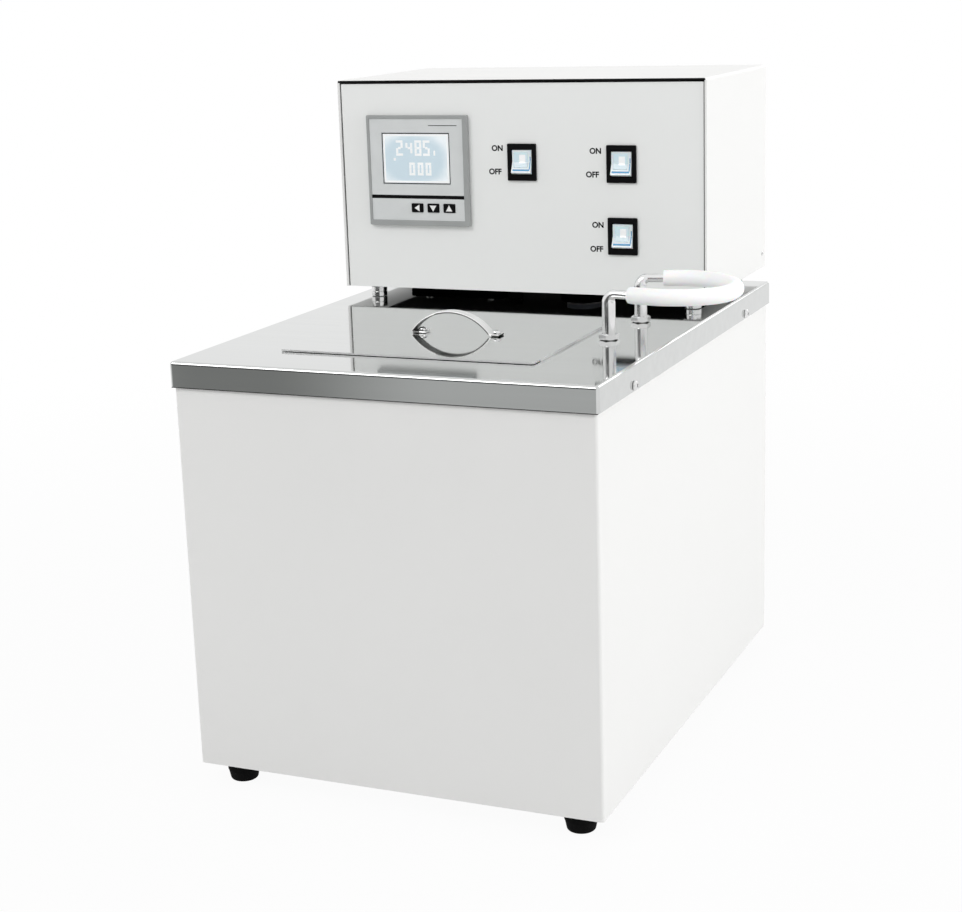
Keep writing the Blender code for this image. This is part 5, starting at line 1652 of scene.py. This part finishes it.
    def build_keys(self) -> None:
        """The three keys with their arrows."""
        arrows = {
            "shift": ((-2.6, 0.0), (2.2, -3.0), (2.2, 3.0)),
            "down": ((0.0, -2.9), (3.2, 2.3), (-3.2, 2.3)),
            "up": ((0.0, 2.8), (-3.0, -2.5), (3.0, -2.5)),
        }
        for name, points in arrows.items():
            node = f"key_{name}"
            low, high = span(node)
            spot = centre(node)
            seat = Seat(Vector((spot.x, low.y, spot.z)))
            pane = Pane.sized(high.x - low.x, high.z - low.z, 0.8 * MM)
            key = Shape(BLACK).slab(seat, pane, low.y - high.y, -self.ink, 0.35 * MM)
            outline = [(x * MM, y * MM) for x, y in points]
            key.use(KEY_MARK).prism(seat, outline, -0.1 * MM, 0.0)
            key.piece(f"{name}_key", f"{name}_key_body", node)


@dataclass
class RockerSwitch:
    """A rocker switch in its black bezel, with the words on the panel beside it."""

    name: str
    on_spot: tuple[float, float]
    off_spot: tuple[float, float]
    proud: float = 1.8 * MM
    body_width: float = 22.0 * MM
    body_height: float = 27.5 * MM
    rocker_width: float = 18.0 * MM
    radius: float = 10.5 * MM
    sink: float = 3.2 * MM
    valley: float = 2.2 * MM
    back: float = 3.7 * MM
    tilt: float = 11.0
    play: float = 0.5 * MM
    letter_size: float = 6.6 * MM

    @property
    def seat(self) -> Seat:
        """The panel's face at the bezel's middle."""
        spot, low = centre(f"{self.name}_switch_frame"), span(f"{self.name}_switch_frame")[0]
        return Seat(Vector((spot.x, low.y + self.proud, spot.z)))

    def build(self) -> None:
        """Builds the bezel, the rocker and the words."""
        self.build_bezel(f"{self.name}_switch_frame")
        self.build_rocker(f"{self.name}_rocker")
        self.build_words()

    def build_bezel(self, node: str) -> None:
        """The bezel, its body and the rocker's pocket.

        Args:
            node: The frame's node.
        """
        low, high = span(node)
        back = self.proud - (high.y - low.y)
        outer = Pane.sized(high.x - low.x, high.z - low.z, 0.9 * MM)
        body = Pane.sized(self.body_width, self.body_height, 0.6 * MM)
        reach = 2 * (self.radius + self.play)
        pocket = Pane.sized(self.rocker_width + 2 * self.play, reach, 0.6 * MM)
        floor = self.proud - self.sink - self.radius * math.sin(math.radians(self.tilt)) - self.back
        levels = [(body, back), (body, 0.0), (outer, 0.0), *outer.rounded(self.proud, 0.5 * MM)]
        levels += [(pocket.shrunk(-0.3 * MM), self.proud), (pocket, self.proud - 0.3 * MM)]
        levels += [(pocket, floor - self.play)]
        bezel = Shape(BLACK).loft([pane.ring(self.seat, out) for pane, out in levels])
        bezel.piece(f"{self.name}_bezel", "bath", node)

    def build_rocker(self, node: str) -> None:
        """The pale rocker with a clear lens on each half, painted lighter above and darker below, a
        painted highlight on each lens, and a blue edge.

        Args:
            node: The rocker's node.
        """
        tilt = math.radians(self.tilt)
        up = Vector((0.0, math.sin(tilt), math.cos(tilt)))
        front = Seat(self.seat.at(0, 0, self.proud - self.sink), X_WAY, up)
        lip = self.tilt + math.degrees(math.asin(self.valley * math.cos(tilt) / self.radius))
        rear = -math.degrees(math.asin(self.back / self.radius))
        upper = [(-y, z) for z, y in arc((0, 0), self.radius, lip, rear, 10)]
        outline = [(-self.valley, 0.0), *upper, *[(y, -z) for y, z in reversed(upper)]]
        side = Seat(front.spot, -front.out, front.up)
        half = self.rocker_width / 2
        shell = Shape(ROCKER_SHELL).prism(side, outline, -half, half)
        shell.soften(0.45 * MM)
        tip = upper[0]
        climb, lean = front.up * tip[1], front.out * (tip[0] + self.valley)
        spot = front.at(0, 0, self.valley)
        top, low = (Seat(spot, X_WAY, way.normalized()) for way in (climb - lean, climb + lean))
        # The lenses are painted lighter above and darker below to stand for light and shade, and
        # the pale patches on them are painted highlights.
        for finish, seat, sides, start, end, edge in (
            (LENS_PAINTED_LIGHT, top, (-6.9, 5.6, 0.0, 8.2), -0.3, 0.3, 0.2),
            (LOWER_LENS_PAINTED_SHADE, low, (-6.9, 5.6, -5.2, 0.0), -0.3, 0.3, 0.2),
            (ROCKER_PAINTED_GLINT, top, (-2.2, 3.4, 0.0, 6.0), 0.0, 0.4, 0.1),
            (ROCKER_PAINTED_GLINT, low, (-2.2, 3.4, -1.4, 0.0), 0.0, 0.4, 0.1),
            (ROCKER_EDGE, low, (-7.8, 7.8, -8.4, -6.7), -0.3, 0.12, 0.0),
            (ROCKER_EDGE, low, (7.2, 8.1, -6.7, -0.2), -0.3, 0.1, 0.0),
            (ROCKER_EDGE, top, (7.4, 8.1, 0.2, 4.5), -0.3, 0.1, 0.0),
        ):
            pane = Pane(*(side * MM for side in sides))
            shell.use(finish).slab(seat, pane, start * MM, end * MM, edge * MM)
        shell.piece(f"{self.name}_rocker_cap", f"{self.name}_rocker_body", node)

    def build_words(self) -> None:
        """The words ON and OFF beside the bezel."""
        panel = Seat(Vector((self.seat.spot.x, span("front_panel")[0].y, self.seat.spot.z)))
        words = Shape(PRINT)
        for body, (x, z) in (("ON", self.on_spot), ("OFF", self.off_spot)):
            words.words(panel.moved(x * MM, z * MM, 0.02 * MM), body, self.letter_size)
        words.piece(f"{self.name}_words", "bath")


@dataclass
class Studio:
    """The pale floor, the soft lamps, the grey card in front and the camera."""

    ambient: float = 0.62
    floor_colour: float = 0.62
    floor_glow: float = 0.945
    glow_near: float = 0.5
    glow_far: float = 1.7
    card_place: float = -0.9
    card_sides: tuple[float, float] = (-1.5, 0.3)
    card_height: float = 0.6
    camera_spot: tuple[float, float, float] = (0.60994, -1.45821, 0.62942)
    lens: float = 71.009
    yaw: float = 23.470
    pitch: float = 14.306
    roll: float = -0.03209

    def build(self) -> None:
        """Sets up everything round the object."""
        bpy.context.scene.view_settings.view_transform = "Standard"
        self.build_world()
        self.build_floor()
        self.build_card()
        self.build_lamps()
        self.build_camera()

    def seen(self, graph: Graph) -> Socket:
        """A mask that is 1 for what the camera sees, directly or by mirror or glass.

        Args:
            graph: The graph that it goes into.

        Returns:
            The mask.
        """
        direct = graph.node("ShaderNodeLightPath", output="Is Camera Ray")
        mirrored = graph.node("ShaderNodeLightPath", output="Is Glossy Ray")
        through = graph.node("ShaderNodeLightPath", output="Is Transmission Ray")
        return direct | mirrored | through

    def build_world(self) -> None:
        """A white background that lights the object more softly than it looks."""
        world = bpy.data.worlds.new("studio_white")
        bpy.context.scene.world = world
        world.use_nodes = True
        graph = Graph(world.node_tree)
        mask = self.seen(graph)
        backdrop = world.node_tree.nodes["Background"]
        backdrop.inputs["Color"].default_value = (1.0, 1.0, 1.0, 1.0)
        graph.feed(backdrop.inputs["Strength"], self.ambient + mask * (1.0 - self.ambient))

    def build_floor(self) -> None:
        """The floor: near white to the camera, with the object's soft shadow on it."""
        made = bpy.data.materials.new("floor_white")
        made.use_nodes = True
        graph = Graph(made.node_tree)
        shader = made.node_tree.nodes["Principled BSDF"]
        grey = self.floor_colour
        tone = graph.mix(graph.noise(3.0), (grey,) * 3, (grey + 0.02,) * 3)
        graph.feed(shader.inputs["Base Color"], tone)
        shader.inputs["Roughness"].default_value = 0.8
        glow = graph.node("ShaderNodeEmission", {}, {"Color": (1.0, 1.0, 1.0, 1.0)})
        far = graph.vector("LENGTH", graph.place(), output="Value")
        share = self.seen(graph) * graph.fade(far, self.glow_near, self.glow_far, self.floor_glow)
        paint = Socket(graph, shader.outputs[0])
        mixed = graph.node("ShaderNodeMixShader", {}, {0: share, 1: paint, 2: glow})
        graph.feed(made.node_tree.nodes["Material Output"].inputs["Surface"], mixed)
        mesh = bpy.data.meshes.new("floor")
        disc = bmesh.new()
        bmesh.ops.create_circle(disc, cap_ends=True, segments=96, radius=14.0)
        disc.to_mesh(mesh)
        disc.free()
        mesh.materials.append(made)
        floor = bpy.data.objects.new("floor", mesh)
        bpy.context.collection.objects.link(floor)

    def build_card(self) -> None:
        """A grey card in front that only shows in the polished steel."""
        made = bpy.data.materials.new("card_grey")
        made.use_nodes = True
        graph = Graph(made.node_tree)
        across, height = (
            graph.node("ShaderNodeSeparateXYZ", {}, {0: graph.place()}, axis) for axis in "XZ"
        )
        rise = graph.fade(across, -0.47, -0.24) | graph.fade(across, -0.56, -0.75)
        tone = graph.mix(rise, (0.25, 0.255, 0.25), (0.54, 0.55, 0.545))
        tone = graph.mix(graph.fade(height, 0.25, 0.29), tone, (0.04, 0.04, 0.04))
        glow = graph.node("ShaderNodeEmission", {}, {"Color": tone})
        graph.feed(made.node_tree.nodes["Material Output"].inputs["Surface"], glow)
        mesh = bpy.data.meshes.new("card")
        left, right = self.card_sides
        corners = [(left, 0.0), (right, 0.0), (right, self.card_height), (left, self.card_height)]
        mesh.from_pydata([(x, self.card_place, z) for x, z in corners], [], [(0, 1, 2, 3)])
        mesh.materials.append(made)
        card = bpy.data.objects.new("card", mesh)
        bpy.context.collection.objects.link(card)
        card.visible_camera = card.visible_diffuse = card.visible_shadow = False

    def build_lamps(self) -> None:
        """A broad lamp from the right, two weaker ones over the front and two behind."""
        self.lamp("key", (2.6, 0.1, 1.1), (0.0, 0.0, 0.3), (1.8, 1.8), 37.5)
        self.lamp("fill", (-0.6, -2.4, 2.2), (0.0, 0.0, 0.3), (2.2, 2.2), 9.0)
        self.lamp("strip", (-0.8, -1.6, 1.8), (0.0, -0.1, 0.35), (1.4, 0.6), 14.0, True)
        self.lamp("back", (0.0, 1.3, 2.1), (0.0, 0.1, 0.5), (1.0, 1.0), 6.0)
        self.lamp("edge", (0.75, 1.9, 1.25), (0.15, 0.0, 0.35), (0.8, 0.8), 3.0, True)

    def lamp(
        self,
        name: str,
        spot: tuple[float, float, float],
        aim: tuple[float, float, float],
        sides: tuple[float, float],
        power: float,
        mirrored: bool = False,
    ) -> None:
        """Adds a rectangular lamp.

        Args:
            name: Its name.
            spot: Where it stands.
            aim: The point that it shines at.
            sides: Its width and height.
            power: Its power, in watts.
            mirrored: Whether it shows in polished pieces.
        """
        light = bpy.data.lights.new(name, "AREA")
        light.shape, light.energy = "RECTANGLE", power
        light.size, light.size_y = sides
        made = bpy.data.objects.new(name, light)
        made.location = spot
        way = Vector(aim) - Vector(spot)
        made.rotation_mode = "QUATERNION"
        made.rotation_quaternion = way.to_track_quat("-Z", "Y")
        made.visible_glossy = mirrored
        bpy.context.collection.objects.link(made)

    def build_camera(self) -> None:
        """The camera at the photograph's angle."""
        yaw, pitch = math.radians(self.yaw), math.radians(self.pitch)
        ahead = Vector(
            (-math.sin(yaw) * math.cos(pitch), math.cos(yaw) * math.cos(pitch), -math.sin(pitch))
        )
        right = Vector((math.cos(yaw), math.sin(yaw), 0.0))
        up = right.cross(ahead)
        across = math.cos(self.roll) * right + math.sin(self.roll) * up
        above = math.cos(self.roll) * up - math.sin(self.roll) * right
        data = bpy.data.cameras.new("camera")
        data.lens, data.sensor_width, data.sensor_fit = self.lens, 36.0, "HORIZONTAL"
        camera = bpy.data.objects.new("camera", data)
        turn = Matrix((across, above, -ahead)).transposed().to_4x4()
        camera.matrix_world = Matrix.Translation(self.camera_spot) @ turn
        bpy.context.collection.objects.link(camera)
        bpy.context.scene.camera = camera


def main() -> None:
    """Loads the frame and dresses it piece by piece."""
    logging.basicConfig(level=logging.INFO, format="%(name)s: %(message)s")
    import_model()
    Studio().build()
    Pipework().build()
    Casing().build()
    TopPlate().build()
    Lid().build()
    Works().build()
    Head().build()
    Controller().build()
    RockerSwitch("power", (-22.8, 11.5), (-25.3, -8.5)).build()
    RockerSwitch("circulation", (-23.2, 10.5), (-26.2, -9.3)).build()
    RockerSwitch("heating", (-22.3, 9.0), (-23.8, -11.5)).build()


if __name__ == "__main__":
    main()
